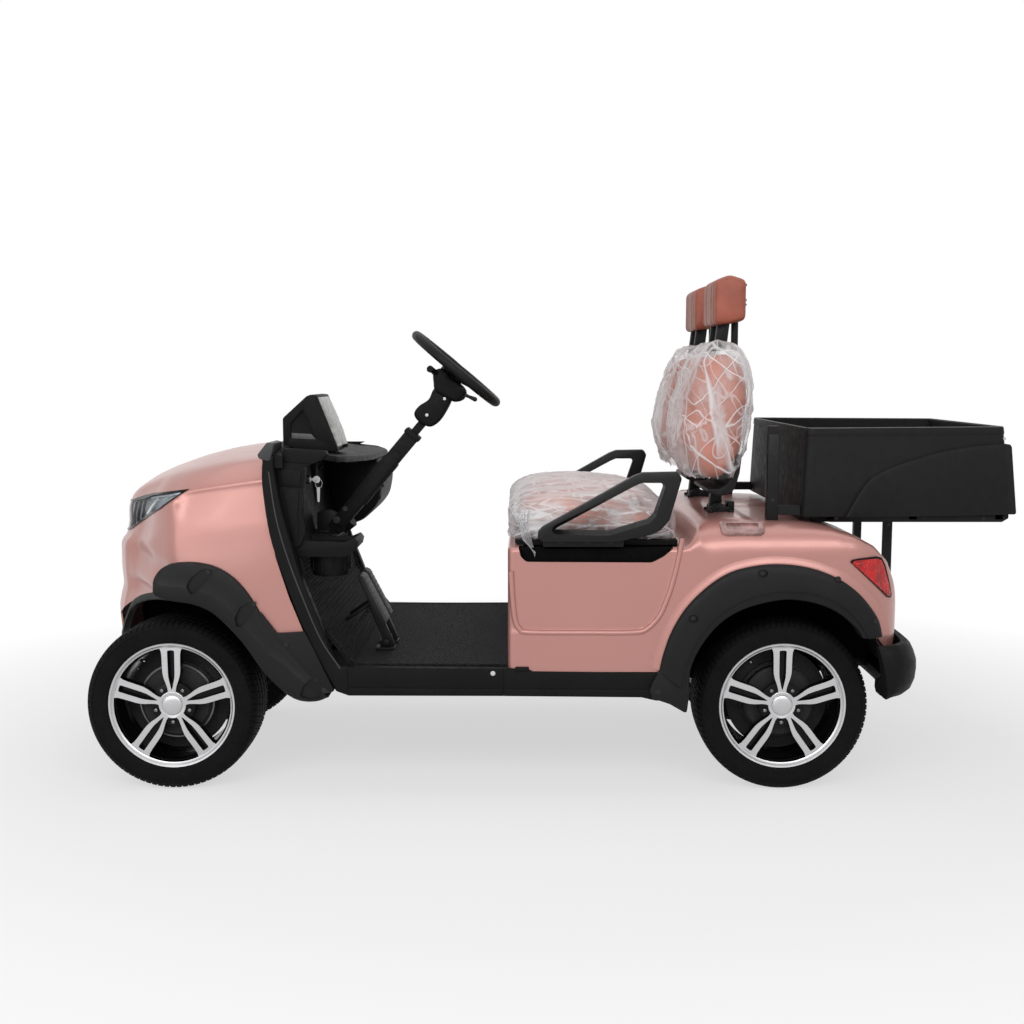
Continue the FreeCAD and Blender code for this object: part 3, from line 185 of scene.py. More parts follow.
SLOT_LOOKS = {
    "tyre": RUBBER, "alloy": MACHINED, "body_paint": PAINT, "frame_steel": STEEL,
    "knuckle_iron": IRON, "black_plastic": PLASTIC, "flare_plastic": FLARE,
    "tub_plastic": BOX_PLASTIC, "floor_rubber": MAT, "pedal_steel": STEEL, "grip": GRIP,
    "lamp_clear": CLEAR, "lamp_red": RED, "upholstery": SALMON, "brown_leather": LEATHER,
    "battery_case": BATTERY, "handle_metal": PAINT, "liner_plastic": LINER,
}
for part in frame["record"]["subparts"]:
    holder = frame["nodes"][part["node"]].data
    holder.materials.clear()
    holder.materials.append(SLOT_LOOKS[part["material_slot"]])


# ---------------------------------------------------------------- shape kit
class Form:
    """Points and faces, in metres, that a piece is made from."""

    def __init__(self, *shapes):
        self.points = []
        self.faces = []
        self.add(*shapes)

    def add(self, *shapes):
        for points, faces in shapes:
            start = len(self.points)
            self.points.extend(tuple(point) for point in points)
            self.faces.extend(tuple(start + index for index in face) for face in faces)
        return self

    def mirrored(self):
        """The same shape on the cart's right."""
        points = [(x, -y, z) for x, y, z in self.points]
        return Form((points, [tuple(reversed(face)) for face in self.faces]))

    def mirror(self):
        """Adds the same shape on the cart's right."""
        other = self.mirrored()
        return self.add((other.points, other.faces))


def fx(x):
    """A station in millimetres ahead of the front axle, in the row frame."""
    return FRONT + x / 1000


def rx(x):
    """A station in millimetres ahead of the rear axle, in the row frame."""
    return REAR + x / 1000


def xz(points):
    """Side-view points in millimetres from the front axle, as row-frame metres."""
    return [(fx(x), z / 1000) for x, z in points]


def rz(points):
    """Side-view points in millimetres from the rear axle, as row-frame metres."""
    return [(rx(x), z / 1000) for x, z in points]


def around(count):
    """Angles that go once round."""
    return np.linspace(0, 2 * math.pi, count, endpoint=False)


def circle(radius, count, centre=(0.0, 0.0)):
    return [(centre[0] + radius * math.cos(a), centre[1] + radius * math.sin(a)) for a in around(count)]


def shade(mesh, angle=32):
    mesh.shade_smooth()
    mesh.set_sharp_from_angle(angle=math.radians(angle))


def bake(obj):
    """Replace an object's mesh with what its modifiers make."""
    graph = bpy.context.evaluated_depsgraph_get()
    made = bpy.data.meshes.new_from_object(obj.evaluated_get(graph))
    obj.modifiers.clear()
    obj.data = made
    return obj


def mesh_object(name, form, merge=0.0):
    mesh = bpy.data.meshes.new(name)
    mesh.from_pydata(form.points, [], form.faces)
    work = bmesh.new()
    work.from_mesh(mesh)
    if merge:
        bmesh.ops.remove_doubles(work, verts=work.verts, dist=merge)
    bmesh.ops.recalc_face_normals(work, faces=work.faces)
    work.to_mesh(mesh)
    work.free()
    obj = bpy.data.objects.new(name, mesh)
    bpy.context.scene.collection.objects.link(obj)
    return obj


def bevel(obj, width, segments=2, angle=28):
    mod = obj.modifiers.new("edge", "BEVEL")
    mod.width = width
    mod.segments = segments
    mod.limit_method = "ANGLE"
    mod.angle_limit = math.radians(angle)
    mod.miter_outer = "MITER_ARC"
    mod.use_clamp_overlap = True
    return obj


def combined(obj, form, operation):
    """Take a closed form out of a piece, or keep only what lies in it."""
    tool = mesh_object("tool", form)
    mod = obj.modifiers.new("combine", "BOOLEAN")
    mod.operation = operation
    mod.solver = "EXACT"
    mod.object = tool
    bake(obj)
    bpy.data.objects.remove(tool)
    return obj


def cut(obj, *cutters):
    for form in cutters:
        combined(obj, form, "DIFFERENCE")
    return obj


def finer(obj):
    """One level of subdivision, baked."""
    mod = obj.modifiers.new("finer", "SUBSURF")
    mod.levels = 1
    mod.render_levels = 1
    return bake(obj)


def finish_piece(obj, look, body="root", nodes=(), slot=None, angle=32):
    """Bake a piece, give it its look and set it on its body."""
    if obj.modifiers:
        bake(obj)
    obj.data.materials.clear()
    obj.data.materials.append(look)
    shade(obj.data, angle)
    if nodes:
        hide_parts(*nodes)
    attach(obj, body)
    return obj


def twin_of(obj, name, body="root"):
    """The same piece on the cart's right."""
    twin = bpy.data.objects.new(name, obj.data.copy())
    bpy.context.scene.collection.objects.link(twin)
    flip = bmesh.new()
    flip.from_mesh(twin.data)
    for vert in flip.verts:
        vert.co.y = -vert.co.y
    bmesh.ops.reverse_faces(flip, faces=flip.faces)
    flip.to_mesh(twin.data)
    flip.free()
    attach(twin, body)


def piece(name, form, look, body="root", nodes=(), slot=None, edge=0.0, segments=2, angle=32, merge=0.0):
    obj = mesh_object(name, form, merge)
    if edge:
        bevel(obj, edge, segments)
    return finish_piece(obj, look, body, nodes, slot, angle)


def grid(rows, round_rows=False, round_columns=False):
    """Faces over rows of points."""
    count, width = len(rows), len(rows[0])
    points = [point for row in rows for point in row]
    faces = []
    for i in range(count if round_rows else count - 1):
        for j in range(width if round_columns else width - 1):
            a, b = i * width + j, i * width + (j + 1) % width
            c, d = ((i + 1) % count) * width + (j + 1) % width, ((i + 1) % count) * width + j
            faces.append((a, b, c, d))
    return points, faces


def sheet_between(outer, inner):
    """A closed form between two grids of equal size."""
    points, faces = grid(outer)
    other, back = grid(inner)
    start, rows, width = len(points), len(outer), len(outer[0])
    edge = ([i * width for i in range(rows)] + [(rows - 1) * width + j for j in range(1, width)]
            + [i * width + width - 1 for i in range(rows - 2, -1, -1)] + list(range(width - 2, 0, -1)))
    faces += [tuple(start + i for i in reversed(face)) for face in back]
    faces += [(p, q, start + q, start + p) for p, q in zip(edge, edge[1:] + edge[:1])]
    return points + other, faces


def thick_panel(name, left, thickness, merge):
    """A body panel from the points of its left half, thickened inwards."""
    obj = mesh_object(name, Form(grid([[tuple(p) for p in row] for row in left])).mirror(), merge)
    work = bmesh.new()
    work.from_mesh(obj.data)
    bmesh.ops.recalc_face_normals(work, faces=work.faces)
    top = max(work.faces, key=lambda face: face.calc_center_median().z)
    if top.normal.z < 0:
        bmesh.ops.reverse_faces(work, faces=work.faces)
    work.to_mesh(obj.data)
    work.free()
    mod = obj.modifiers.new("thickness", "SOLIDIFY")
    mod.thickness = thickness
    mod.offset = -1
    return bake(obj)


def grown(outline, amount):
    """A closed outline with each point moved away from the middle."""
    middle = np.mean(np.array(outline), axis=0)
    made = []
    for x, z in outline:
        away = np.array([x, z]) - middle
        made.append(tuple(np.array([x, z]) + away / np.linalg.norm(away) * amount))
    return made


def loft(sections, caps=True):
    """A closed form over closed sections of equal count."""
    points, faces = grid(sections, round_columns=True)
    if caps:
        width = len(sections[0])
        faces.append(tuple(range(width)))
        faces.append(tuple(reversed(range(len(points) - width, len(points)))))
    return points, faces


def plate(outline, y_from, y_to):
    """A side-view outline of (x, z) in metres, run across the cart."""
    return loft([[(x, y_from, z) for x, z in outline], [(x, y_to, z) for x, z in outline]])


def slab(outline, z_from, z_to):
    """A plan outline of (x, y) in metres, run upwards."""
    return loft([[(x, y, z_from) for x, y in outline], [(x, y, z_to) for x, y in outline]])


def block(low, high):
    x0, y0, z0 = low
    x1, y1, z1 = high
    return plate([(x0, z0), (x1, z0), (x1, z1), (x0, z1)], y0, y1)


def softened(outline, radius, steps=4):
    """A closed outline with its corners rounded; radius is one number, or one for each corner."""
    made = []
    count = len(outline)
    for i, corner in enumerate(outline):
        r = radius[i] if hasattr(radius, "__len__") else radius
        here = Vector(corner)
        back = Vector(outline[i - 1]) - here
        ahead = Vector(outline[(i + 1) % count]) - here
        if not r:
            made.append(tuple(here))
            continue
        turn = back.angle(ahead)
        reach = min(r / math.tan(turn / 2), back.length * 0.49, ahead.length * 0.49)
        start = here + back.normalized() * reach
        end = here + ahead.normalized() * reach
        for step in range(steps + 1):
            t = step / steps
            made.append(tuple(start * (1 - t) ** 2 + here * 2 * t * (1 - t) + end * t ** 2))
    return made


def rounded_off(outline, radius, steps=4):
    """Like softened(), for an outline in metres with radii in millimetres."""
    if hasattr(radius, "__len__"):
        return softened(outline, [r / 1000 for r in radius], steps)
    return softened(outline, radius / 1000, steps)


def spline(points, per=6, closed=False):
    """A smooth run through points, as arrays of any width."""
    pts = np.array(points, float)
    count = len(pts)
    made = []
    for i in range(count if closed else count - 1):
        p1, p2 = pts[i], pts[(i + 1) % count]
        p0 = pts[i - 1] if closed or i > 0 else p1 * 2 - p2
        p3 = pts[(i + 2) % count] if closed or i + 2 < count else p2 * 2 - p1
        for step in range(per):
            t = step / per
            made.append(0.5 * ((2 * p1) + (p2 - p0) * t + (2 * p0 - 5 * p1 + 4 * p2 - p3) * t * t
                               + (3 * p1 - p0 - 3 * p2 + p3) * t ** 3))
    if not closed:
        made.append(pts[-1])
    return np.array(made)


def evenly(line, count, closed=True):
    """Points at even distances along a line."""
    line = np.array(line, float)
    if closed:
        line = np.vstack([line, line[:1]])
    runs = np.concatenate([[0], np.cumsum(np.linalg.norm(np.diff(line, axis=0), axis=1))])
    wanted = np.linspace(0, runs[-1], count, endpoint=not closed)
    return np.array([np.interp(wanted, runs, line[:, i]) for i in range(line.shape[1])]).T


def smooth_net(net, per_row, per_column):
    """A dense grid through a coarse one."""
    wide = np.array([spline(row, per_column) for row in net])
    tall = np.array([spline(wide[:, j], per_row) for j in range(wide.shape[1])])
    return tall.transpose(1, 0, 2)


def tube(path, radius, count=16, closed=False, flat=1.0):
    """A round bar along a path; radius is one number, or one for each point."""
    pts = [Vector(p) for p in path]
    total = len(pts)
    rings = []
    side = None
    for i, here in enumerate(pts):
        ahead = pts[(i + 1) % total] if closed or i + 1 < total else here
        behind = pts[i - 1] if closed or i > 0 else here
        run = (ahead - behind).normalized()
        if side is None:
            side = run.orthogonal().normalized()
        side = (side - run * side.dot(run)).normalized()
        other = run.cross(side)
        r = radius[i] if hasattr(radius, "__len__") else radius
        rings.append([tuple(here + side * (r * math.cos(a)) + other * (r * flat * math.sin(a)))
                      for a in (2 * math.pi * k / count for k in range(count))])
    if closed:
        return grid(rings, round_rows=True, round_columns=True)
    return loft(rings)


def swept(path, section, across=(0, 1, 0), closed=False):
    """A section of (across, up) points carried along a path that lies in a plane."""
    pts = [Vector(p) for p in path]
    side = Vector(across)
    total = len(pts)
    rings = []
    for i, here in enumerate(pts):
        ahead = pts[(i + 1) % total] if closed or i + 1 < total else here
        behind = pts[i - 1] if closed or i > 0 else here
        run = (ahead - behind).normalized()
        out = side.cross(run).normalized()
        rings.append([tuple(here + side * a + out * b) for a, b in section])
    if closed:
        return grid(rings, round_rows=True, round_columns=True)
    return loft(rings)


def turned(profile, count, centre, start=0.0, turn=2 * math.pi, closed=True):
    """A closed profile of (radius, y) turned about an axis along Y."""
    cx, cy, cz = centre
    rings = []
    whole = abs(turn - 2 * math.pi) < 1e-9
    for k in range(count if whole else count + 1):
        a = start + turn * k / count
        rings.append([(cx + r * math.sin(a), cy + y, cz + r * math.cos(a)) for r, y in profile])
    if whole:
        return grid(rings, round_rows=True, round_columns=closed)
    return loft(rings)


def disc_profile(radius, y_from, y_to, round_off=0.0015):
    """Profile of a short round pin for turned(), closed on its axis."""
    return [(0.00001, y_from), (radius - round_off, y_from), (radius, y_from + round_off),
            (radius, y_to - round_off), (radius - round_off, y_to), (0.00001, y_to)]


def bolt_head(place, radius=0.006, rise=0.004, side=1):
    """A cross-head or socket bolt whose face looks to the cart's side."""
    x, y, z = place
    hexagon = [(0.00001, -0.002), (radius * 1.35, -0.002), (radius * 1.35, rise * 0.35),
               (radius, rise * 0.4), (radius, rise), (radius * 0.5, rise), (radius * 0.45, rise * 0.5),
               (0.00001, rise * 0.5)]
    return turned([(r, y_ * side) for r, y_ in hexagon], 12, (x, y, z))


def bolts(name, places, radius, rise, look, slot, angle=40, both=True):
    """Bolt heads at places on the left, and by default on the right as well."""
    form = Form(*(bolt_head(place, radius, rise) for place in places))
    piece(name, form.mirror() if both else form, look, slot=slot, angle=angle)


def smoothstep(value, low, high):
    t = np.clip((value - low) / (high - low), 0, 1)
    return t * t * (3 - 2 * t)


# ---------------------------------------------------------------- painted nose
NOSE_LEVELS = [402, 460, 520, 560, 600, 650, 700, 737, 765, 800, 830]
NOSE_TIP = [266, 272, 276, 270, 261, 264, 264, 262, 244, 235, 234]
NOSE_WIDE = {
    20: [535, 535, 535, 535, 535, 532, 528, 522, 515, 508, 501],
    -75: [577, 578, 578, 578, 578, 577, 574, 570, 564, 559, 554],
    -200: [583, 584, 584, 584, 584, 583, 580, 577, 573, 570, 566],
    -330: [586, 586, 586, 586, 586, 585, 584, 581, 578, 575, 571],
    -480: [586, 586, 586, 586, 586, 585, 584, 582, 579, 577, 573],
    -640: [586, 586, 586, 586, 586, 585, 584, 582, 579, 577, 573],
}
NOSE_ROUND = [0, 60, 120, 180, 235, 285, 330]
NOSE_BEND = [(232, 0, 853), (230, 57, 853), (222, 115, 854), (205, 172, 856), (178, 226, 860),
             (150, 274, 864), (128, 312, 870), (97, 362, 882), (62, 412, 898), (20, 462, 920),
             (-28, 497, 932), (-75, 520, 942), (-200, 537, 962), (-330, 545, 978),
             (-480, 547, 983), (-640, 548, 985)]
NOSE_SHOULDER = [(224, 0, 884), (221, 55, 885), (210, 105, 890), (190, 155, 902), (165, 203, 916),
                 (138, 243, 928), (112, 272, 939), (82, 300, 952), (50, 327, 964), (10, 358, 978),
                 (-40, 388, 992), (-90, 408, 1003), (-210, 437, 1024), (-330, 450, 1036),
                 (-480, 454, 1041), (-640, 455, 1042)]
NOSE_CROWN = [(204, 905), (190, 918), (170, 934), (145, 950), (115, 966), (85, 979), (55, 990),
              (25, 1001), (-10, 1013), (-45, 1023), (-85, 1033), (-130, 1043), (-225, 1057),
              (-330, 1062), (-480, 1063), (-640, 1063)]


NOSE_FOOT, NOSE_TOP = NOSE_LEVELS[0], NOSE_LEVELS[-1]
CREASE_Y = 330                             # where the front turns into the side, mm
BACK_STATIONS = (-75, -200, -330, -480, -640)


def front_curve(tip, y):
    """How far ahead the front lies at a distance from its middle."""
    return tip - 19.4 * (y / 150) ** 2.32


def nose_point(number, level, height):
    """A point of the nose's side wall, in mm: its front, its corner, then its flank."""
    tip, wide = NOSE_TIP[level], NOSE_WIDE[20][level]
    if number < 7:
        return front_curve(tip, NOSE_ROUND[number]), NOSE_ROUND[number], height
    if number < 9:
        share = (number - 6) / 3
        edge = front_curve(tip, CREASE_Y)
        return edge + (20 - edge) * share, CREASE_Y + (wide - CREASE_Y) * share, height
    if number == 9:
        return 12, wide - 5 - 7 * (wide - 501) / 34, height
    if number == 10:
        return -30, wide * 0.42 + NOSE_WIDE[-75][level] * 0.58, height
    x = BACK_STATIONS[number - 11]
    bend_y, bend_z = NOSE_BEND[number][1:]
    return x, float(np.interp(height, NOSE_LEVELS + [bend_z], NOSE_WIDE[x] + [bend_y])), height


def nose_net():
    """Rows of the nose's left half, from the middle of the front round to the cabin."""
    rows = []
    for number in range(len(NOSE_BEND)):
        bend, shoulder = Vector(NOSE_BEND[number]), Vector(NOSE_SHOULDER[number])
        crown_x, crown_z = NOSE_CROWN[number]
        crown = Vector((crown_x, 0, crown_z))
        stretch = (NOSE_BEND[number][2] - 23 - NOSE_FOOT) / (NOSE_TOP - NOSE_FOOT)
        row = [nose_point(number, level, NOSE_FOOT + (height - NOSE_FOOT) * stretch)
               for level, height in enumerate(NOSE_LEVELS)]
        chord = shoulder - bend
        out = Vector((0, -chord.z, chord.y)) if chord.y else Vector((-chord.z, 0, chord.x))
        out = out.normalized()
        if out.z < 0:
            out = -out
        swell = 9 if number > 8 else 5
        row += [tuple(bend), tuple((bend + shoulder) / 2 + out * swell), tuple(shoulder)]
        for share in (0.34, 0.67):
            middle = shoulder.lerp(crown, share)
            middle.z += 5 * math.sin(math.pi * share)
            row.append(tuple(middle))
        rows.append(row + [tuple(crown)])
    return rows


def nose_relief(surface):
    """Folds of the front corner: a corner crease and two valleys that run to the wheel arch."""
    x, y, z = surface[..., 0], surface[..., 1], surface[..., 2]
    du = np.gradient(surface, axis=0)
    dv = np.gradient(surface, axis=1)
    normal = np.cross(du, dv)
    normal /= np.maximum(np.linalg.norm(normal, axis=2, keepdims=True), 1e-9)
    normal *= np.sign(normal[..., 1:2] + 1e-9)
    corner = np.exp(-((y - 258) / 13) ** 2) * (1 - smoothstep(z, 730, 800)) * smoothstep(x, 60, 160)
    push = 5.0 * corner
    inside = smoothstep(y, 268, 318) * smoothstep(x, -60, 20)

    def valley(height, deep, above, below):
        down = height - z
        part = np.where(down < 0, smoothstep(down, -above, 0), 1 - smoothstep(down, 0, below))
        return -deep * part

    push = push + inside * valley(732 - (156 - x) * 0.34, 17, 62, 66)
    push = push + inside * valley(622 - (156 - x) * 0.05, 13, 26, 40)
    return surface + normal * push[..., None]


def make_nose():
    """The painted skin, cut at the band, the foot, the wheel arches and the lamps."""
    obj = thick_panel("nose_panel", NOSE_SKIN, 0.005, 0.0004)
    reach = SIDE + 0.05
    behind = xz([(-326, 1120), (-316, 1044), (-313, 1000), (-318, 892), (-346, 742), (-385, 620),
                 (-430, 505), (-470, 380), (-720, 380), (-720, 1120)])
    low = xz([(-720, 380), (60, 380), (60, 505), (-335, 513), (-720, 522)])
    arch = wheel_opening(ARCH_INSIDE, (FRONT, 0, HUB))
    # behind the wheel's top the opening is a little larger, so no paint shows under the flare
    sector = [(FRONT + 0.354 * math.cos(a), HUB + 0.354 * math.sin(a))
              for a in np.linspace(math.radians(92), math.radians(160), 36)]
    sector += [(FRONT - 0.30, HUB), (FRONT - 0.012, HUB)]
    lamp = xz(LAMP_OUTLINE)
    cut(obj, Form(plate(behind, -reach, reach)), Form(plate(low, -reach, reach)), arch, arch.mirrored(),
        Form(plate(lamp, 0.10, 0.66)), Form(plate(lamp, -0.66, -0.10)),
        Form(plate(sector, ARCH_INSIDE, 0.75)), Form(plate(sector, -0.75, -ARCH_INSIDE)))
    finish_piece(obj, PAINT, nodes=["nose_cowl"], slot="body_paint", angle=38)


def wheel_opening(inside, centre):
    """A drum that cuts the body open over a wheel, from a distance beside the middle line."""
    return Form(turned([(0.00001, inside), (0.340, inside), (0.340, 0.75), (0.00001, 0.75)], 96, centre))


def lamp_layer(name, skins, outline, grow, spans, look, slot, nodes=(), hole=None):
    """One layer of a lamp between two skins, cut to its outline, with its twin on the right.

    The spans are the y ranges of the tools that cut the outline and the hole.
    """
    obj = mesh_object(name + "_left", Form(sheet_between(*(skin.tolist() for skin in skins))))
    combined(obj, Form(plate(grown(outline, grow), *spans[0])), "INTERSECT")
    if hole is not None:
        cut(obj, Form(plate(grown(outline, hole), *spans[1])))
    finish_piece(obj, look, nodes=nodes, slot=slot)
    twin_of(obj, name + "_right")


def make_headlights():
    """A clear lens over a pale bowl, in a black rim."""
    out = NOSE_SKIN - np.array([FRONT - 0.2, 0.0, 0.75])
    out /= np.linalg.norm(out, axis=2, keepdims=True)

    def skins(*distances):
        return [(NOSE_SKIN + out * distance)[:72, 30:72] for distance in distances]

    def layer(name, distances, grow, look, **more):
        lamp_layer(name, skins(*distances), xz(LAMP_OUTLINE), grow, ((0.12, 0.66), (0.10, 0.70)), look,
                   "lamp_clear", **more)

    layer("headlight_lens", (0.0015, -0.0015), -0.004, LENS, nodes=["headlights"])
    layer("headlight_bowl", (-0.012, -0.030), 0.004, REFLECTOR)
    layer("headlight_rim", (0.0028, -0.012), 0.002, GLOSS, hole=-0.009)


def make_headlight_bars():
    """Inside each lamp: a slanting white guide, one along the top edge, and dark fins in front."""
    flat = NOSE_SKIN.reshape(-1, 3)

    def on_skin(points, deep):
        made = []
        for x, z in xz(points):
            near = flat[np.argmin((flat[:, 0] - x) ** 2 + (flat[:, 2] - z) ** 2
                                  + 1e3 * (flat[:, 1] < 0.10))]
            inward = Vector((FRONT - 0.25, 0.05, 0.80)) - Vector(near)
            made.append(tuple(Vector((x, near[1], z)) + inward.normalized() * deep))
        return made

    slant = on_skin([(40, 905), (54, 890), (68, 875), (82, 862), (92, 852)], 0.004)
    upper = on_skin([(-48, 928), (-10, 921), (30, 914), (60, 907), (84, 901)], 0.006)
    form = Form(tube(slant, [0.0035, 0.0045, 0.006, 0.007, 0.0075], 12),
                tube(upper, [0.005, 0.004, 0.0035, 0.003, 0.003], 10))
    piece("headlight_guides", form.mirror(), GUIDE, slot="lamp_clear", angle=60)
    fins = [[(122, 890), (126, 870), (131, 850), (137, 832)],
            [(150, 882), (154, 860), (159, 838), (164, 814)],
            [(178, 874), (182, 850), (186, 826), (190, 800)]]
    form = Form(*(tube(on_skin(run, 0.010), 0.0065, 8) for run in fins))
    piece("headlight_fins", form.mirror(), GLOSS, slot="lamp_clear", angle=60)


LAMP_OUTLINE = [(-76, 942), (-17, 933), (58, 919), (117, 903), (176, 884), (240, 868), (240, 774),
                (203, 782), (176, 794), (122, 827), (76, 852), (18, 880)]
ARCH_INSIDE = 0.165                        # how near the middle the front arches are cut
GUIDE = finish_of("light_guide", (0.92, 0.93, 0.94), 0.3, vary=0.06, patch=30, grain=300, bump=0.2)
NOSE_SKIN = nose_relief(smooth_net(nose_net(), 6, 5)) / 1000 + np.array([FRONT, 0, 0])
make_nose()
make_headlights()
make_headlight_bars()


# ---------------------------------------------------------------- painted rear body
REAR_LOW = 393                             # foot of the paint, mm
FAN_X = 110                                # the deck's rows fan out from here, mm from the rear axle
WELL_TOP, WELL_ROUND, WELL_TAIL = 771.0, 15.0, 320      # seat well: height, edge radius, rear end
DECK_TOP, DECK_ROUND = 852.0, 105          # deck: height, and radius of its shoulder
DECK_CAP = [(900, 771), (318, 771), (302, 782), (272, 828), (240, 845), (200, 850), (138, 852),
            (60, 852), (0, 850), (-60, 845), (-130, 829), (-195, 806), (-258, 772), (-304, 724),
            (-343, 642), (-363, 570), (-374, 480), (-400, 380)]


def deck_height(x):
    """The deck's height at a station from the rear axle, in mm."""
    stations = [-point[0] for point in DECK_CAP]
    return np.interp(-x, stations, [point[1] for point in DECK_CAP])


def rear_edge():
    """The rear body's plan on the left, from the middle of the pedestal round to the tail."""
    edge = [(848, y) for y in (0, 120, 240, 360, 460, 530)]
    edge += [(848 - 22 * (1 - math.cos(a)), 564 + 22 * math.sin(a)) for a in np.linspace(0, math.pi / 2, 7)]
    edge += [(x, 586) for x in np.arange(818, -150, -6.0)]
    tail = spline([(-150, 586), (-215, 578), (-268, 556), (-312, 524), (-345, 476), (-360, 416),
                   (-368, 320), (-372, 200), (-374, 90), (-374, 0)], 8)
    edge += [tuple(point) for point in tail]
    return edge


def rear_row(x, y, normal, out):
    """Points up the side at one place of the plan, round the shoulder and in over the top."""
    start = np.array([x, y]) + normal * out
    if x > WELL_TAIL:
        spine = np.array([min(x, 700.0), 0.0])
        reach, top = WELL_ROUND, WELL_TOP
    elif x > FAN_X:
        spine = np.array([x, 0.0])
        reach = WELL_ROUND + (DECK_ROUND - WELL_ROUND) * smoothstep(WELL_TAIL - x, 0, 90)
        top = deck_height(x)
    else:
        spine = np.array([FAN_X, 0.0])
        reach, top = DECK_ROUND, DECK_TOP
    foot = top - reach
    if x < FAN_X:
        tail = smoothstep(-x, 330, 374)
        reach = DECK_ROUND + 365 * tail
        foot = min(DECK_TOP - DECK_ROUND - 247 * tail, deck_height(x) - 30)
    top += out
    length = np.linalg.norm(spine - start)
    reach = min(reach, length * 0.98)
    row = []
    for z in np.linspace(REAR_LOW, foot, 54, endpoint=False):
        tuck = 0.0
        if x < -150:
            tuck = smoothstep(-150 - x, 0, 200) * (6 * (500 - min(z, 500)) / 70)
        row.append((*(start - normal * tuck), z))
    for a in np.linspace(0, math.pi / 2, 18):
        d = reach * (1 - math.cos(a))
        z = foot + (top - foot) * math.sin(a)
        row.append((*(start + (spine - start) * (d / length)), z))
    for share in (0.15, 0.35, 0.6, 0.8, 0.999):
        d = reach + (length - reach) * share
        row.append((*(start + (spine - start) * (d / length)), top + 2 * share))
    return row


def rear_surface(out=0.0):
    """Rows of the rear body's left half, drawn out by a little, in millimetres from the rear axle."""
    rows = []
    edge = rear_edge()
    count = len(edge)
    for number, (x, y) in enumerate(edge):
        before, after = edge[max(0, number - 1)], edge[min(count - 1, number + 1)]
        run = np.array(after) - np.array(before)
        normal = np.array([-run[1], run[0]])
        normal = normal / max(np.linalg.norm(normal), 1e-9)
        if number in (0, count - 1):
            normal = np.array([-1.0 if number else 1.0, 0.0])
        if normal @ np.array([x - FAN_X, y]) < 0:
            normal = -normal
        rows.append(rear_row(x, y, normal, out))
    surface = np.array(rows)
    x, z = surface[..., 0], surface[..., 2]
    line = np.interp(z, [514, 528, 563, 602, 654, 729, 800], [464, 424, 392, 374, 356, 338, 326])
    inside = smoothstep(x - line, 2, 12) * smoothstep(z, 512, 524) * smoothstep(surface[..., 1], 500, 560)
    surface[..., 1] -= 4.0 * inside
    cap = deck_height(surface[..., 0]) + out
    z = surface[..., 2]
    soft = 14.0
    limited = -soft * np.log(np.exp(-(z - 700) / soft) + np.exp(-(cap - 700) / soft)) + 700
    sloped = smoothstep(FAN_X + 40 - surface[..., 0], 0, 60)
    surface[..., 2] = z * (1 - sloped) + limited * sloped
    return surface


ARCH_LINE = [(391, 399), (379, 452), (354, 522), (312, 592), (252, 653), (185, 697), (108, 718), (31, 723),
             (-46, 714), (-115, 692), (-176, 658), (-229, 610), (-274, 549), (-291, 496)]
ARCH_STEP = [(327, 349), (315, 411), (277, 498), (218, 568), (142, 616), (66, 638), (-11, 642), (-89, 629),
             (-158, 594), (-211, 542), (-247, 490)]
ARCH_INNER_LINE = [(300, 349), (297, 402), (277, 455), (243, 507), (201, 551), (142, 586), (73, 607),
                   (5, 616), (-64, 607), (-124, 586), (-176, 551), (-212, 516), (-230, 490)]
ARCH_MIDDLE = [(365, 380), (350, 440), (316, 512), (262, 590), (192, 642), (124, 668), (48, 680),
               (-30, 678), (-104, 660), (-168, 626), (-222, 576), (-262, 518), (-285, 440)]


def rear_skin(out=0.0):
    """The left half of the rear body, drawn out by millimetres, in row-frame metres."""
    return rear_surface(out) / 1000 + np.array([REAR, 0, 0])


def along(path, section):
    """A section in millimetres carried along a path in metres, on both sides of the cart."""
    return Form(swept(path, [(a / 1000, b / 1000) for a, b in section])).mirror()


def make_rear_panel():
    """The painted rear skin, cut at the seat well, the cabin and the wheel arches."""
    obj = thick_panel("rear_panel", rear_skin(), 0.006, 0.0003)
    arch = wheel_opening(0.285, (REAR, 0, HUB + 0.012))
    mouth = softened(rz([(815, 900), (815, 768), (809, 744), (793, 728), (415, 726), (381, 744), (352, 768),
                         (352, 900)]), [0, 0.01, 0.02, 0.02, 0.03, 0.03, 0, 0], 4)
    cover = rz(spline(ARCH_MIDDLE, 4)) + [(rx(-330), 0.38), (rx(400), 0.38)]
    well = softened([(rx(802), -0.560), (rx(802), 0.560), (rx(332), 0.560), (rx(332), -0.560)], 0.03)
    cut(obj, Form(slab(well, 0.70, 0.86)), arch, arch.mirrored(), Form(plate(mouth, 0.50, 0.70)).mirror(),
        Form(plate(cover, 0.285, 0.75)).mirror())
    finish_piece(obj, PAINT, nodes=["rear_body"], slot="body_paint", angle=36)


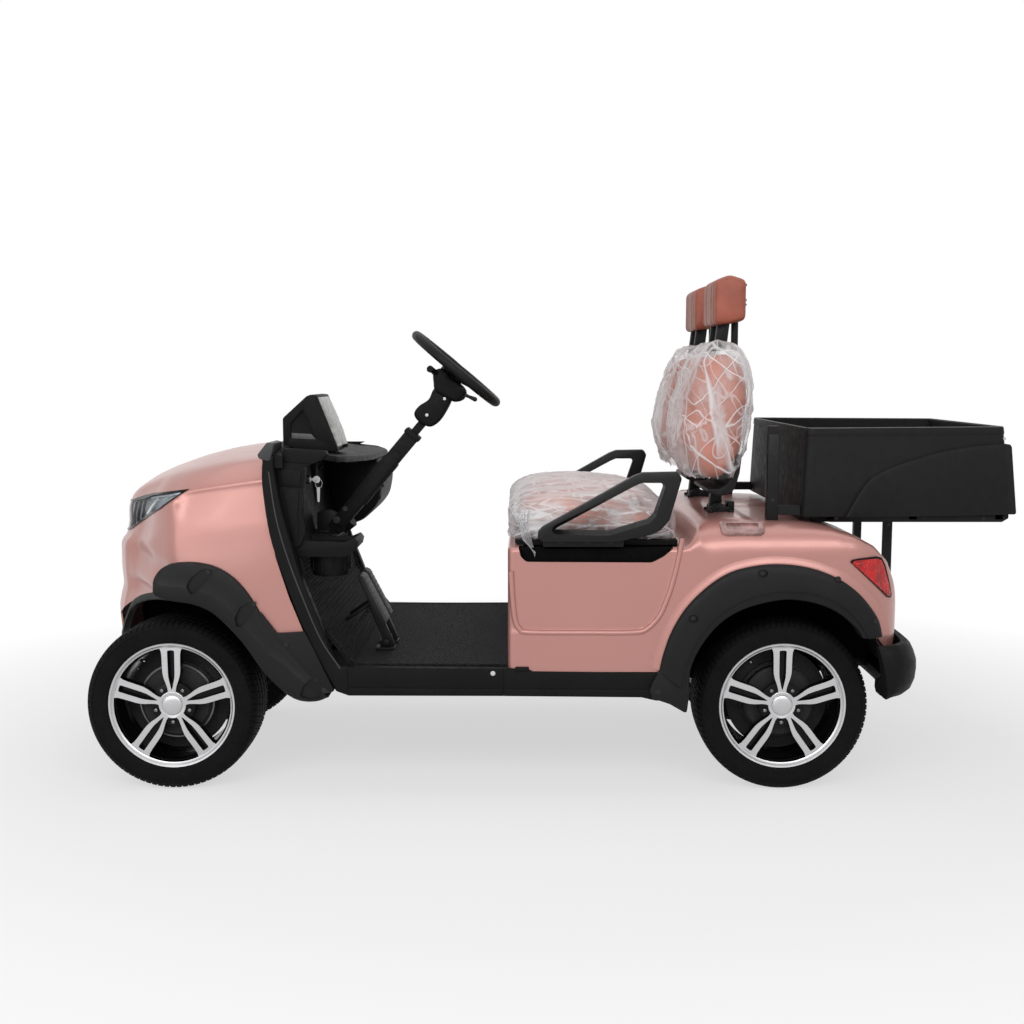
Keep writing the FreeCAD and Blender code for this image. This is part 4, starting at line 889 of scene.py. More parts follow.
def make_rear_trim():
    """A raised bead round the pedestal's side, a near-black block in its well that stands in for the shade
    there, and the lip over the flare.
    """
    centre = spline([(838, 700), (834, 625), (826, 552), (812, 524), (786, 514), (620, 513), (464, 514),
                     (424, 528), (392, 563), (374, 602), (356, 654), (338, 729), (326, 800)], 6)
    rib = [(-5.0, -9.0), (0.5, -7.6), (4.0, -4.2), (5.2, 0.0), (4.0, 4.2), (0.5, 7.6), (-5.0, 9.0)]
    bead = along([(x, SIDE, z) for x, z in rz(centre)], rib)
    piece("rear_bead", bead, PAINT, slot="body_paint", angle=50)

    # near-black block that fills the seat well: painted shade for the dark open gap under the seat
    tray = Form(block((rx(845), 0.30, 0.60), (rx(340), 0.556, 0.766)))
    piece("seat_well_shade_block", tray.mirror(), LINER, slot="black_plastic", edge=0.006)
    plan = np.array(rear_edge())
    plan = plan[plan[:, 1] > 300]
    path = []
    for x, z in spline(ARCH_LINE, 6):
        y = np.interp(-x, -plan[:, 0], plan[:, 1]) if x > -340 else 470
        path.append((rx(x), y / 1000, z / 1000))
    lip = [(-3, -6), (5.5, -4), (6.5, 0), (5.6, 4.5), (3.4, 10), (1.2, 17), (-0.4, 25), (-3, 25)]
    piece("rear_arch_lip", along(path, lip), PAINT, slot="body_paint", angle=50)


TAIL_LAMP = [(-179, 727), (-184, 734), (-206, 738), (-262, 741), (-280, 735), (-292, 714), (-308, 668),
             (-322, 622), (-319, 612), (-308, 614), (-290, 630)]


def make_taillights():
    """Red faceted lenses in dark rims, wrapped round the rear corners."""
    def skins(*distances):
        made = [rear_skin(distance) for distance in distances]
        pick = [i for i, row in enumerate(made[0]) if row[30, 0] < rx(-120) and row[30, 1] > 0.30]
        return [skin[pick[0]:pick[-1] + 1, 20:74] for skin in made]

    spans = ((0.2, 0.7), (0.2, 0.7))
    lamp_layer("taillight_lens", skins(5.5, 0.4), rz(TAIL_LAMP), -0.005, spans, RED, "lamp_red",
               ["taillights"])
    lamp_layer("taillight_rim", skins(4.4, -1.0), rz(TAIL_LAMP), 0.002, spans, GLOSS, "lamp_red",
               hole=-0.0055)


make_rear_panel()
make_rear_trim()
make_taillights()


# ---------------------------------------------------------------- wheels
TYRE_HALF = [(181, 78), (190, 84), (196.2, 88), (197.0, 93), (198.8, 96.6), (202, 98.6), (206, 99.4),
             (212, 100.4), (222, 102.0), (232, 102.4), (240, 101.8), (243.5, 101.6), (245, 103.0),
             (247.5, 103.0), (249, 100.9), (252, 99.0), (257, 94.5), (261, 88.5), (264, 82.0),
             (265.5, 74.0), (266.3, 66.0), (266.8, 60.2), (260.8, 59.4), (260.8, 51.6), (267.0, 50.8),
             (267.7, 36.0), (268.0, 22.2), (262.0, 21.4), (262.0, 13.6), (268.0, 12.8), (268.0, 0.0)]
SHOULDER_FROM, SHOULDER_TO, SHOULDER_DEEP = 15, 22, 3.4     # tread points, and depth of the cuts, mm
MID_FROM, MID_TO, MID_DEEP = 24, 27, 2.2
PITCHES = 84                               # cuts round the tyre
CUT_SLANT = 0.10                           # angle by which a cut leads at the tyre's edge
BEAD_RADIUS = 176.5


def make_tyre(corner, x, side):
    """A road tyre: grooved tread, cross cuts in the shoulders, a ridge on each sidewall."""
    profile = TYRE_HALF + [(r, -y) for r, y in reversed(TYRE_HALF[:-1])]
    step = 2 * math.pi / PITCHES

    def place(r, y, angle):
        return (x + r / 1000 * math.sin(angle), side * TRACK + y / 1000, HUB + r / 1000 * math.cos(angle))

    rings = []
    for pitch in range(PITCHES):
        for part, deep in ((0.0, True), (0.17, True), (0.20, False), (0.97, False)):
            turn = step * (pitch + part)
            ring = []
            for number, (r, y) in enumerate(profile):
                twin = min(number, len(profile) - 1 - number)
                lowered = r
                if deep and SHOULDER_FROM <= twin < SHOULDER_TO:
                    lowered = r - SHOULDER_DEEP * min(1, (twin - SHOULDER_FROM + 1) / 2)
                elif deep and MID_FROM <= twin < MID_TO:
                    lowered = r - MID_DEEP
                ring.append(place(lowered, y, turn + (abs(y) / 102) * CUT_SLANT * (1 if y > 0 else -1)))
            rings.append(ring + [place(BEAD_RADIUS, -84, turn), place(BEAD_RADIUS, 84, turn)])
    form = Form(grid(rings, round_rows=True, round_columns=True))
    piece("road_tyre_" + corner, form, RUBBER, "wheel_" + corner, ["tyre_" + corner], "tyre", angle=34)


def spoke_outline(inset=0.0):
    """Half of a spoke pair's outer edge, as (across, radius) from the hub out."""
    return [(12.5 - inset, 36), (12.5 - inset, 50), (16.5 - inset, 64), (23.0 - inset, 82),
            (27.0 - inset, 98), (28.0 - inset, 112), (28.6 - inset, 150), (30.0 - inset, 168),
            (34.0 - inset, 178), (36 - inset, 180.5)]


SPOKE_SLOT = [(0, 47), (2.5, 54), (6.6, 72), (9.6, 88), (10.4, 100), (10.8, 140), (11.0, 168), (9.6, 172),
              (0, 173)]


def spoke_loop(stations, hand, outer, gap):
    """One half of a spoke pair: out along its edge and back along the slot, as (across, radius)."""
    edge, slot = [], []
    for radius in stations:
        wide = np.interp(radius, [p[1] for p in outer], [p[0] for p in outer])
        narrow = np.interp(radius, [p[1] for p in SPOKE_SLOT], [p[0] for p in SPOKE_SLOT])
        edge.append((hand * wide, radius))
        slot.append((hand * (narrow + (gap if narrow else 0)), radius))
    return edge + slot[::-1]


def bar_between(front, back):
    """A closed form over two loops that run out and back."""
    size = len(front)
    faces = []
    for i in range(size // 2 - 1):
        faces.append((i, i + 1, size - 2 - i, size - 1 - i))
        faces.append((size + i, size + size - 1 - i, size + size - 2 - i, size + i + 1))
    for i in range(size):
        j = (i + 1) % size
        faces.append((i, size + i, size + j, j))
    return front + back, faces


def make_wheel(corner, x, side):
    """Machined faces on a gloss black wheel: lip, five pairs of spokes, plain cap and bolts."""
    face_y = 0.0865
    body = "wheel_" + corner
    turns = [math.radians(72 * number) for number in range(5)]

    def place(across, radius, y, turn):
        c, s = math.cos(turn), math.sin(turn)
        u, v = across / 1000, radius / 1000
        return (x + u * c + v * s, side * (TRACK + y), HUB - u * s + v * c)

    def spun(profile, count, centre=(x, side * TRACK, HUB)):
        return turned([(r, y * side) for r, y in profile], count, centre)

    barrel = [(0.1900, 0.0900), (0.1948, 0.0920), (0.1955, 0.0900), (0.1945, 0.0860), (0.1840, 0.0835),
              (0.1808, 0.0600), (0.1775, 0.0), (0.1765, -0.078), (0.1850, -0.0855), (0.1945, -0.0885),
              (0.1945, -0.0925), (0.1780, -0.0890), (0.1695, -0.0790), (0.1705, 0.0), (0.1745, 0.060),
              (0.1780, 0.0800), (0.1820, 0.0868)]
    dark = Form(spun(barrel, 96))
    stations = [36, 50, 54, 64, 72, 82, 90, 100, 112, 130, 150, 166, 173, 180.5]
    web = [(-11, 50), (11, 50), (13, 100), (13, 176), (-13, 176), (-13, 100)]
    for turn in turns:
        for hand in (1, -1):
            loop = spoke_loop(stations, hand, spoke_outline(0.5), 0.5)
            dark.add(bar_between([place(a, r, face_y - 0.0012, turn) for a, r in loop],
                                 [place(a * 1.06, r, face_y - 0.028, turn) for a, r in loop]))
        dark.add(loft([[place(a, r, face_y - 0.019, turn) for a, r in web],
                       [place(a, r, face_y - 0.026, turn) for a, r in web]]))
    hub_disc = [(0.00001, 0.060), (0.0680, 0.058), (0.0700, 0.062), (0.0690, 0.072), (0.0560, 0.076),
                (0.0420, 0.0775), (0.00001, 0.0775)]
    dark.add(spun(hub_disc, 60))
    piece("wheel_dark_" + corner, dark, GLOSS, body, ["rim_" + corner], "alloy", angle=34)

    face = Form()
    stations = [36, 47, 50, 54, 60, 64, 68, 72, 77, 82, 88, 94, 100, 106, 112, 130, 150, 168, 172, 173, 177,
                180.5]
    for turn in turns:
        for hand in (1, -1):
            loop = spoke_loop(stations, hand, spoke_outline(), 0)
            face.add(bar_between([place(a, r, face_y, turn) for a, r in loop],
                                 [place(a, r, face_y - 0.0022, turn) for a, r in loop]))
    lip = [(0.1815, 0.0872), (0.1850, 0.0890), (0.1880, 0.0925), (0.1900, 0.0948), (0.1955, 0.0962),
           (0.1968, 0.0945), (0.1960, 0.0880), (0.1840, 0.0856)]
    cap = [(0.00001, 0.0932), (0.0160, 0.0928), (0.0262, 0.0912), (0.0300, 0.0890), (0.0316, 0.0862),
           (0.0330, 0.0852), (0.0400, 0.0868), (0.0420, 0.0860), (0.0425, 0.0770), (0.00001, 0.0770)]
    face.add(spun(lip, 96), spun(cap, 48))
    piece("wheel_face_" + corner, face, MACHINED, body, slot="alloy", angle=28)

    nut = [(0.00001, 0.0085), (0.0036, 0.0085), (0.0058, 0.0072), (0.0062, 0.0), (0.0062, -0.003),
           (0.00001, -0.003)]
    bolts = Form(*(spun(nut, 6, place(0, 55, 0.0775, math.radians(72 * number + 36)))
                   for number in range(5)))
    valve = spun(disc_profile(0.0042, -0.03, 0.006), 10, place(0, 168, 0.081, math.radians(36)))
    piece("wheel_bolts_" + corner, bolts.add(valve), NUT, body, slot="alloy", angle=25)


def make_drum(corner, x, side, body):
    """A black drum and backing plate behind each wheel."""
    profile = [(0.040, 0.036), (0.104, 0.036), (0.112, 0.030), (0.112, 0.004), (0.122, 0.0),
               (0.122, -0.008), (0.160, -0.012), (0.160, -0.018), (0.040, -0.018)]
    form = Form(turned([(r, y * side) for r, y in profile], 60, (x, side * TRACK, HUB)))
    piece("brake_drum_" + corner, form, IRON_DARK, body, slot="knuckle_iron", angle=30)


NUT = finish_of("dark_chrome", (0.20, 0.20, 0.205), 0.22, metal=0.9, vary=0.15, patch=50, grain=1500,
                bump=0.1, depth=0.0002)
IRON_DARK = finish_of("dark_iron", (0.006, 0.006, 0.0062), 0.7, vary=0.3, patch=24, grain=900,
                      bump=0.4, depth=0.0006)
CORNERS = (("front_left", FRONT, 1, "knuckle_left"), ("front_right", FRONT, -1, "knuckle_right"),
           ("rear_left", REAR, 1, "root"), ("rear_right", REAR, -1, "root"))
for corner, x, side, carrier in CORNERS:
    make_tyre(corner, x, side)
    make_wheel(corner, x, side)
for corner, x, side, carrier in CORNERS:
    make_drum(corner, x, side, carrier)


# ---------------------------------------------------------------- flares, band, rockers, bumper
def y_of_tail(x):
    """The rear body's half-width at a station from the rear axle, at arch height."""
    return float(np.interp(-x, [-400, 150, 215, 268, 312, 345], [586, 586, 578, 556, 524, 476]))


ARCH_STATIONS = 90                         # rings along an arch moulding
REAR_BOLTS = [(87, 697), (-140, 679), (292, 560), (-262, 548)]


def arch_moulding(name, outer, step, inner, y_of, place, profile):
    """A moulded arch: rolled outer edge, broad face, a step, and a lip turned in to the wheel."""
    far, middle, near = (evenly(spline(line, 8), ARCH_STATIONS, closed=False)
                         for line in (outer, step, inner))
    rings = []
    for k in range(ARCH_STATIONS):
        ring = []
        for share, rise in profile:
            if share <= 1:
                x, z = far[k] + (middle[k] - far[k]) * share
            else:
                x, z = middle[k] + (near[k] - middle[k]) * (share - 1)
            ring.append((place(x), (y_of(far[k][0]) + rise) / 1000, z / 1000))
        rings.append(ring)
    return mesh_object(name, Form(loft(rings)))


def make_front_flare():
    """The front arch moulding: a horn at its front, slots with bolts, a stepped foot."""
    outer = [(22, 644), (20, 672), (10, 693), (-9, 712), (-35, 722), (-72, 727), (-113, 726), (-154, 718),
             (-190, 702), (-227, 675), (-259, 638), (-284, 600), (-306, 562), (-328, 536), (-352, 506),
             (-390, 462), (-430, 414), (-472, 366), (-512, 334)]
    crease = [(19, 640), (12, 662), (-14, 659), (-70, 656), (-110, 648), (-151, 634), (-188, 608),
              (-224, 574), (-253, 535), (-297, 487), (-326, 452), (-363, 425), (-399, 392), (-436, 362),
              (-486, 330)]
    inner = [(16, 634), (8, 624), (-32, 611), (-98, 600), (-150, 578), (-186, 547), (-222, 509),
             (-255, 468), (-280, 430), (-309, 388), (-346, 350), (-383, 319), (-420, 304), (-465, 304),
             (-500, 317)]
    profile = [(0.0, -40), (0.0, 5), (0.03, 8.5), (0.10, 11), (0.50, 14.5), (0.93, 17.6), (1.0, 19.4),
               (1.05, 20), (1.60, 20), (1.82, 18.6), (1.94, 15), (2.0, 8), (2.0, -80), (1.9, -80), (1.8, 8),
               (1.0, 8), (0.2, 2), (0.1, -40)]
    obj = arch_moulding("front_flare_left", outer, crease, inner, lambda x: SIDE * 1000, fx, profile)
    skirt = [(-290, 590), (-348, 513), (-431, 518), (-457, 466), (-489, 395), (-518, 336), (-480, 322),
             (-400, 380), (-330, 470)]
    back = Form(plate(xz(softened(skirt, 4, 2)), 0.552, 0.5985))
    piece("front_flare_skirt", back.mirror(), FLARE, slot="flare_plastic", edge=0.003, angle=36)
    slots = ([(-81, 656), (-93, 679), (-124, 705), (-153, 708), (-164, 698), (-141, 672), (-114, 642),
              (-95, 630)],
             [(-224, 562), (-239, 593), (-270, 610), (-290, 611), (-292, 598), (-272, 566), (-245, 536),
              (-229, 532)],
             [(-413, 322), (-425, 353), (-444, 373), (-463, 380), (-477, 373), (-481, 346), (-476, 318),
              (-445, 310)])
    cut(obj, *(Form(plate(xz(softened(slot, 9, 3)), SIDE + 0.0095, 0.65)) for slot in slots))
    finish_piece(obj, FLARE, nodes=["front_flares"], slot="flare_plastic", angle=30)
    twin_of(obj, "front_flare_right")
    # thin strip that follows the wheel opening round the front corner
    section = ((-0.014, 0.010), (0.004, 0.011), (0.007, 0.007), (0.007, -0.008), (0.003, -0.012),
               (-0.014, -0.012))
    rings = []
    for x, y, z in spline([(212, 262, 446), (196, 296, 478), (176, 322, 520), (150, 352, 560),
                           (112, 396, 586), (66, 450, 603), (20, 506, 613), (-20, 556, 618)], 6):
        out = Vector((x / 1000 + 0.1, y * 0.0009, 0)).normalized()
        here = Vector((fx(x), y / 1000, z / 1000)) + out * 0.002
        rings.append([tuple(here + out * a + Vector((0, 0, b))) for a, b in section])
    piece("front_arch_strip", Form(loft(rings)).mirror(), FLARE, slot="flare_plastic", angle=40)
    places = ((-146, 699, 10.5), (-280, 603, 10.5), (-376, 479, 15.0), (-462, 371, 10.5))
    bolts("front_flare_bolts", [(fx(x), SIDE + (rise - 1) / 1000, z / 1000) for x, z, rise in places],
          0.0052, 0.0035, BOLT, "frame_steel", 30)


def make_rear_flare():
    """The rear arch moulding with a pocket round each bolt, and its foot ahead of the wheel."""
    obj = arch_moulding("rear_flare_left", ARCH_LINE, ARCH_STEP, ARCH_INNER_LINE, y_of_tail, rx,
                        [(0.0, -6), (0.0, 8), (0.02, 13), (0.06, 17), (0.14, 20.0), (0.35, 23.0),
                         (0.7, 25.4), (0.93, 26), (1.0, 25), (1.08, 20.5), (1.2, 19), (1.6, 17.5),
                         (1.9, 15), (2.0, 10), (2.0, -60), (1.9, -60), (1.86, 6), (1.0, 11), (0.15, 10),
                         (0.08, -6)])
    pockets = []
    for x, z in REAR_BOLTS:
        ring = [(x + 15 * math.cos(a), z + 12 * math.sin(a)) for a in around(18)]
        pockets.append(Form(plate(rz(ring), (y_of_tail(x) + 14) / 1000, 0.66)))
    cut(obj, *pockets)
    finish_piece(obj, FLARE, nodes=["rear_flares"], slot="flare_plastic", angle=40)
    twin_of(obj, "rear_flare_right")
    foot = [(390, 402), (412, 362), (420, 338), (412, 315), (359, 297), (307, 267), (298, 346), (330, 404)]
    form = Form(plate(rz(softened(foot, 8, 3)), 0.545, 0.603))
    piece("rear_flare_foot", form.mirror(), FLARE, slot="flare_plastic", edge=0.004, angle=40)
    places = [(x, z, 12.5) for x, z in REAR_BOLTS] + [(395, 336, 16.0)]
    bolts("rear_flare_bolts", [(rx(x), (y_of_tail(x) + rise) / 1000, z / 1000) for x, z, rise in places],
          0.0062, 0.004, BOLT, "frame_steel", 30)


def make_band():
    """The dark band behind the nose: its sides, its top under the dash, a paler cap and a seam."""
    front = spline([(-316, 1042), (-312, 998), (-314, 939), (-331, 812), (-366, 692), (-429, 520),
                    (-489, 395), (-522, 334)], 5)
    rear = spline([(-560, 330), (-556, 404), (-521, 423), (-468, 564), (-425, 677), (-401, 760),
                   (-370, 879), (-350, 990), (-347, 1046)], 5)
    form = Form(plate(xz(list(front) + list(rear)), 0.545, 0.5925))
    piece("band_side", form.mirror(), PLASTIC, nodes=["cowl_band"], slot="black_plastic", edge=0.006,
          segments=3, angle=40)
    section = ((-316, -30), (-312, -6), (-318, 3), (-330, 7), (-350, 9), (-372, 6), (-372, -30))
    reach, foot, arched = 578, 1040, 34        # half-width, height at the sides, rise in the middle, mm
    rings = []
    for share in np.linspace(0, 1, 25):
        y = reach * (1 - share * 2)
        z = foot + arched * (1 - abs(y / reach) ** 3.2)
        rings.append([(fx(x), y / 1000, (z + lift) / 1000) for x, lift in section])
    piece("band_top", Form(loft(rings)), PLASTIC, slot="black_plastic", angle=40)
    cap = softened([(-301, 1050), (-306, 1038), (-338, 1030), (-352, 1082), (-331, 1087)],
                   [6, 8, 8, 8, 8], 3)
    form = Form(plate(xz(cap), 0.452, 0.5955))
    piece("band_cap", form.mirror(), CHARCOAL, slot="black_plastic", edge=0.005, segments=3, angle=40)
    path = spline([(-333, 1000), (-352, 862), (-384, 742), (-430, 612), (-480, 492), (-536, 404)], 6)
    section = [(-0.003, -0.0022), (0.0006, -0.0018), (0.0012, 0), (0.0006, 0.0018), (-0.003, 0.0022)]
    seam = Form(swept([(fx(x), 0.5925, z / 1000) for x, z in path], section))
    piece("band_seam", seam.mirror(), CHARCOAL, slot="black_plastic", angle=50)


def make_rocker():
    """The sill under each door opening, with its groove, seam, bolt and tab."""
    outline = softened([(-522, 334), (-489, 395), (-470, 440), (-500, 440), (-526, 407), (-742, 405),
                        (-1100, 404), (-1118, 395), (-1496, 391), (-1478, 340), (-1512, 300), (-1446, 315),
                        (-1012, 319), (-560, 320)], [10, 20, 6, 6, 30, 4, 6, 6, 4, 20, 12, 20, 20, 20], 4)
    obj = mesh_object("rocker_skin", Form(plate(xz(outline), 0.540, 0.5885)).mirror())
    line = Form(plate(xz([(-560, 346), (-1480, 341), (-1480, 338), (-560, 343)]), 0.5865, 0.6))
    seam = Form(plate(xz([(-1028, 300), (-1031, 300), (-1031, 430), (-1028, 430)]), 0.586, 0.6))
    cut(obj, line.mirror(), seam.mirror())
    bevel(obj, 0.004, 3, 40)
    finish_piece(obj, PLASTIC, nodes=["rocker_panels"], slot="black_plastic", angle=40)
    bolts("rocker_bolts", [(fx(-997), 0.5875, 0.389)], 0.0055, 0.004, BOLT_BRIGHT, "frame_steel", 30)
    tab = Form(block((fx(-1106), 0.5800, 0.394), (fx(-1064), 0.592, 0.409)))
    piece("rocker_tab", tab.mirror(), PLASTIC, slot="black_plastic", edge=0.002)


def make_bumper():
    """The rounded tail bumper: one swept moulding with a shelf and a groove."""
    profile = [(0, 478), (2, 486), (24, 488), (38, 476), (50, 452), (60, 420), (61, 390), (57, 352),
               (44, 318), (22, 298), (0, 290), (-40, 294), (-60, 304), (-66, 322), (-64, 350), (-40, 362),
               (-12, 366), (-2, 400)]
    plan = [(-268, 582), (-286, 576), (-306, 564), (-336, 538), (-358, 498), (-368, 440), (-372, 360),
            (-374, 240), (-374, 120), (-374, 0)]
    line = spline(plan, 5)
    rings = []
    for k, (x, y) in enumerate(line):
        before, after = line[max(0, k - 1)], line[min(len(line) - 1, k + 1)]
        run = np.array(after) - np.array(before)
        out = np.array([run[1], -run[0]])
        out = out / np.linalg.norm(out)
        if out[0] > 0 or (out[0] == 0 and out[1] < 0):
            out = -out
        if k == len(line) - 1:
            out = np.array([-1.0, 0.0])
        # the moulding is thinner and leans forward at its ends
        share = smoothstep(k / len(line), 0.0, 0.28)
        ring = []
        for deep, z in profile:
            reach = deep * (0.42 + 0.42 * share)
            tall = 396 + (z - 396) * 0.84
            back = x - (1 - share) * (453 - tall) * 0.20
            ring.append((rx(back + out[0] * reach), (y + out[1] * reach) / 1000, tall / 1000))
        rings.append(ring)
    other = [[(x, -y, z) for x, y, z in ring] for ring in reversed(rings[:-1])]
    form = Form(loft(rings + other))
    piece("bumper_skin", form, PLASTIC, nodes=["rear_bumper"], slot="black_plastic", angle=44)
    arms = Form(block((rx(-320), 0.220, 0.340), (rx(-262), 0.260, 0.370)))
    piece("bumper_arms", arms.mirror(), STEEL, slot="frame_steel", edge=0.003)


def make_liners():
    """Black wheel houses: a rolled sheet over each wheel with an inner wall behind the rear ones."""
    rear_turn = (math.radians(-70), math.radians(152))
    centre = (REAR, 0, HUB + 0.004)
    shell = [(0.352, 0.29), (0.352, 0.552), (0.346, 0.552), (0.346, 0.29)]
    wall = [(0.00001, 0.286), (0.352, 0.286), (0.352, 0.292), (0.00001, 0.292)]
    form = Form(turned(shell, 40, centre, *rear_turn, True), turned(wall, 40, centre, *rear_turn, True))
    piece("rear_wheel_house", form.mirror(), LINER, nodes=["arch_liners"], slot="liner_plastic", angle=30)
    form = Form()
    for inner, outer, steps, start, end in ((0.27, 0.500, 30, -80, 83), (0.20, 0.300, 16, 3, 23)):
        shell = [(0.350, inner), (0.350, outer), (0.345, outer), (0.345, inner)]
        form.add(turned(shell, steps, (FRONT, 0, HUB), math.radians(start), math.radians(end), True))
    shield = softened(xz([(210, 300), (226, 480), (200, 700), (-320, 780), (-420, 560), (-540, 400),
                          (-540, 330), (-240, 262), (120, 262)]), 0.03, 3)
    form.mirror().add(plate(shield, -0.004, 0.004))
    piece("front_wheel_house", form, LINER, slot="liner_plastic", angle=30)


CHARCOAL = finish_of("charcoal_plastic", (0.040, 0.040, 0.042), 0.42, vary=0.1, patch=9, grain=1400,
                     bump=0.3, depth=0.0004, shine=0.35)
BOLT = finish_of("black_bolt", (0.016, 0.016, 0.017), 0.3, metal=0.5, vary=0.3, patch=60, grain=1500,
                 bump=0.2, depth=0.0002)
BOLT_BRIGHT = finish_of("zinc_bolt", (0.55, 0.55, 0.56), 0.32, metal=0.9, vary=0.15, patch=60, grain=1500,
                        bump=0.2, depth=0.0002)
make_front_flare()
make_rear_flare()
make_band()
make_rocker()
make_bumper()
make_liners()


# ---------------------------------------------------------------- seats and their film
def film_material(name, scale, turn, veil=0.30, cloud=0.35, spread=0.7, wave=0.03):
    """Thin clear film: see-through where it lies flat, milky at grazing angles and along its creases."""
    mat, tree, shader, coords = blank_look(name, Base_Color=(0.86, 0.86, 0.875, 1), Roughness=0.24)
    total = None
    creases = ((scale, turn, 0.022, 0.08, 0.80), (scale * 1.3, turn + spread, 0.018, 0.07, 0.85),
               (scale * 1.5, turn - spread * 0.9, 0.018, 0.08, 0.75),
               (scale * 3.2, turn + 0.1, 0.05, 0.18, 0.42))
    for number, (size, angle, width, long, gain) in enumerate(creases):
        # a crease is where a stretched noise, on wandering coordinates, crosses its middle value
        warp = noise_node(tree, coords, 3.0 + 3 * number, 1.0).outputs["Color"]
        bent = add_node(tree, "VectorMath", {0: warp, 1: (wave, wave, wave), 2: coords},
                        operation="MULTIPLY_ADD")
        tilt = (0.25 * number, angle, 0.2 * number)
        mapping = add_node(tree, "Mapping", {"Vector": bent.outputs[0], "Rotation": tilt,
                                             "Scale": (1.0, 1.6, 1.0 / long)}, vector_type="TEXTURE")
        cells = noise_node(tree, mapping.outputs[0], size, 0.0).outputs["Fac"]
        away = computed(tree, "ABSOLUTE", computed(tree, "SUBTRACT", cells, 0.5))
        line = ranged(tree, away, gain, 0.0, 0.0, width)
        total = line if total is None else computed(tree, "MAXIMUM", total, line)
    patches = noise_node(tree, coords, scale * 0.9, 4.0).outputs["Fac"]
    total = computed(tree, "ADD", total, ranged(tree, patches, veil * 0.55, veil + cloud, 0.38, 0.66), True)
    facing = add_node(tree, "LayerWeight", {"Blend": 0.45}).outputs["Facing"]
    total = computed(tree, "MAXIMUM", total, ranged(tree, facing, 0.0, 0.92, 0.20, 0.85), True)
    clear = add_node(tree, "BsdfTransparent", {"Color": (0.97, 0.97, 0.975, 1)})
    thin = add_node(tree, "BsdfTranslucent", {"Color": (0.80, 0.80, 0.82, 1)})
    body = mixed(tree, 0.25, shader.outputs[0], thin.outputs[0])
    tree.links.new(mixed(tree, total, clear.outputs[0], body),
                   tree.nodes["Material Output"].inputs["Surface"])
    bumped(tree, shader, noise_node(tree, coords, 60, 3.0).outputs["Fac"], 0.35, 0.004)
    return mat


FILM_BACK = film_material("film_over_back", 10.0, 0.10, 0.10, 0.30, 0.85, 0.03)
FILM_SEAT = film_material("film_over_seat", 12.0, 1.50, 0.30, 0.60, 0.22, 0.05)
PINK = finish_of("pink_vinyl", (0.70, 0.345, 0.275), 0.5, vary=0.14, patch=14, grain=1000,
                 cells=True, bump=0.25, depth=0.0005, shine=0.3)
SEAT_SHELL = finish_of("seat_shell", (0.008, 0.008, 0.0083), 0.5, vary=0.15, patch=9, grain=1200,
                       bump=0.3, depth=0.0004, shine=0.18)


def pad_rows(outline, y_from, y_to, end, around, across, inset=0.0, crown=0.0):
    """Sections of a pad over a side-view outline, rounded in towards both sides, in metres."""
    line = evenly(spline(outline, 8, closed=True), around)
    centre = line.mean(axis=0)
    half = (y_to - y_from) / 2
    middle = (y_to + y_from) / 2
    rows = []
    for share in np.linspace(-1, 1, across):
        edge = math.sin(share * math.pi / 2) * 0.55 + share * 0.45
        y = edge * half
        past = max(0.0, abs(y) - (half - end)) / end
        draw = end * 0.78 * (1 - math.sqrt(max(0.0, 1 - past ** 2))) + inset
        row = []
        for x, z in line:
            away = np.array([x, z]) - centre
            length = np.linalg.norm(away)
            keep = max(0.0, length - draw) / length
            up = centre[1] + away[1] * keep
            up -= crown * (y / half) ** 2 * smoothstep(up, centre[1], centre[1] + 0.06)
            row.append((centre[0] + away[0] * keep, middle + y, up))
        rows.append(row)
    return rows


def puffed(obj, cap, voxel=0.011, frames=18, pressure=4.0):
    mod = obj.modifiers.new("even", "REMESH")
    mod.mode = "VOXEL"
    mod.voxel_size = voxel
    bake(obj)
    start = np.empty(len(obj.data.vertices) * 3)
    obj.data.vertices.foreach_get("co", start)
    start = start.reshape(-1, 3)
    cloth = obj.modifiers.new("cloth", "CLOTH")
    cloth.settings.quality = 4
    cloth.settings.use_pressure = True
    cloth.settings.uniform_pressure_force = pressure
    cloth.settings.tension_stiffness = 20
    cloth.settings.bending_stiffness = 0.4
    cloth.settings.effector_weights.gravity = 0
    cloth.collision_settings.use_collision = False
    for frame_number in range(1, frames + 1):
        bpy.context.scene.frame_set(frame_number)
    graph = bpy.context.evaluated_depsgraph_get()
    made = bpy.data.meshes.new_from_object(obj.evaluated_get(graph))
    moved = np.empty(len(made.vertices) * 3)
    made.vertices.foreach_get("co", moved)
    moved = moved.reshape(-1, 3) - start
    far = np.linalg.norm(moved, axis=1, keepdims=True)
    moved *= np.minimum(1, cap / np.maximum(far, 1e-9))
    made.vertices.foreach_set("co", (start + moved).ravel())
    obj.modifiers.clear()
    obj.data = made
    bpy.context.scene.frame_set(1)
    return finer(obj)


def folds(point, along, across, seed, sharp=2.0):
    """Long folds in a sheet: ridges that run with one direction and wander a little."""
    p = Vector(point)
    wander = field.noise(p * 6 + Vector((seed, 0, 0))) * 0.05
    wander += field.noise(p * 17 + Vector((0, seed, 0))) * 0.012
    q = Vector((p.x * along[0], p.y * along[1], p.z * along[2])) + Vector((seed * 3.1, seed, 0))
    q += Vector(across) * wander * 22
    ridge = 1 - abs(field.noise(q)) * 2.2
    return max(0.0, ridge) ** sharp


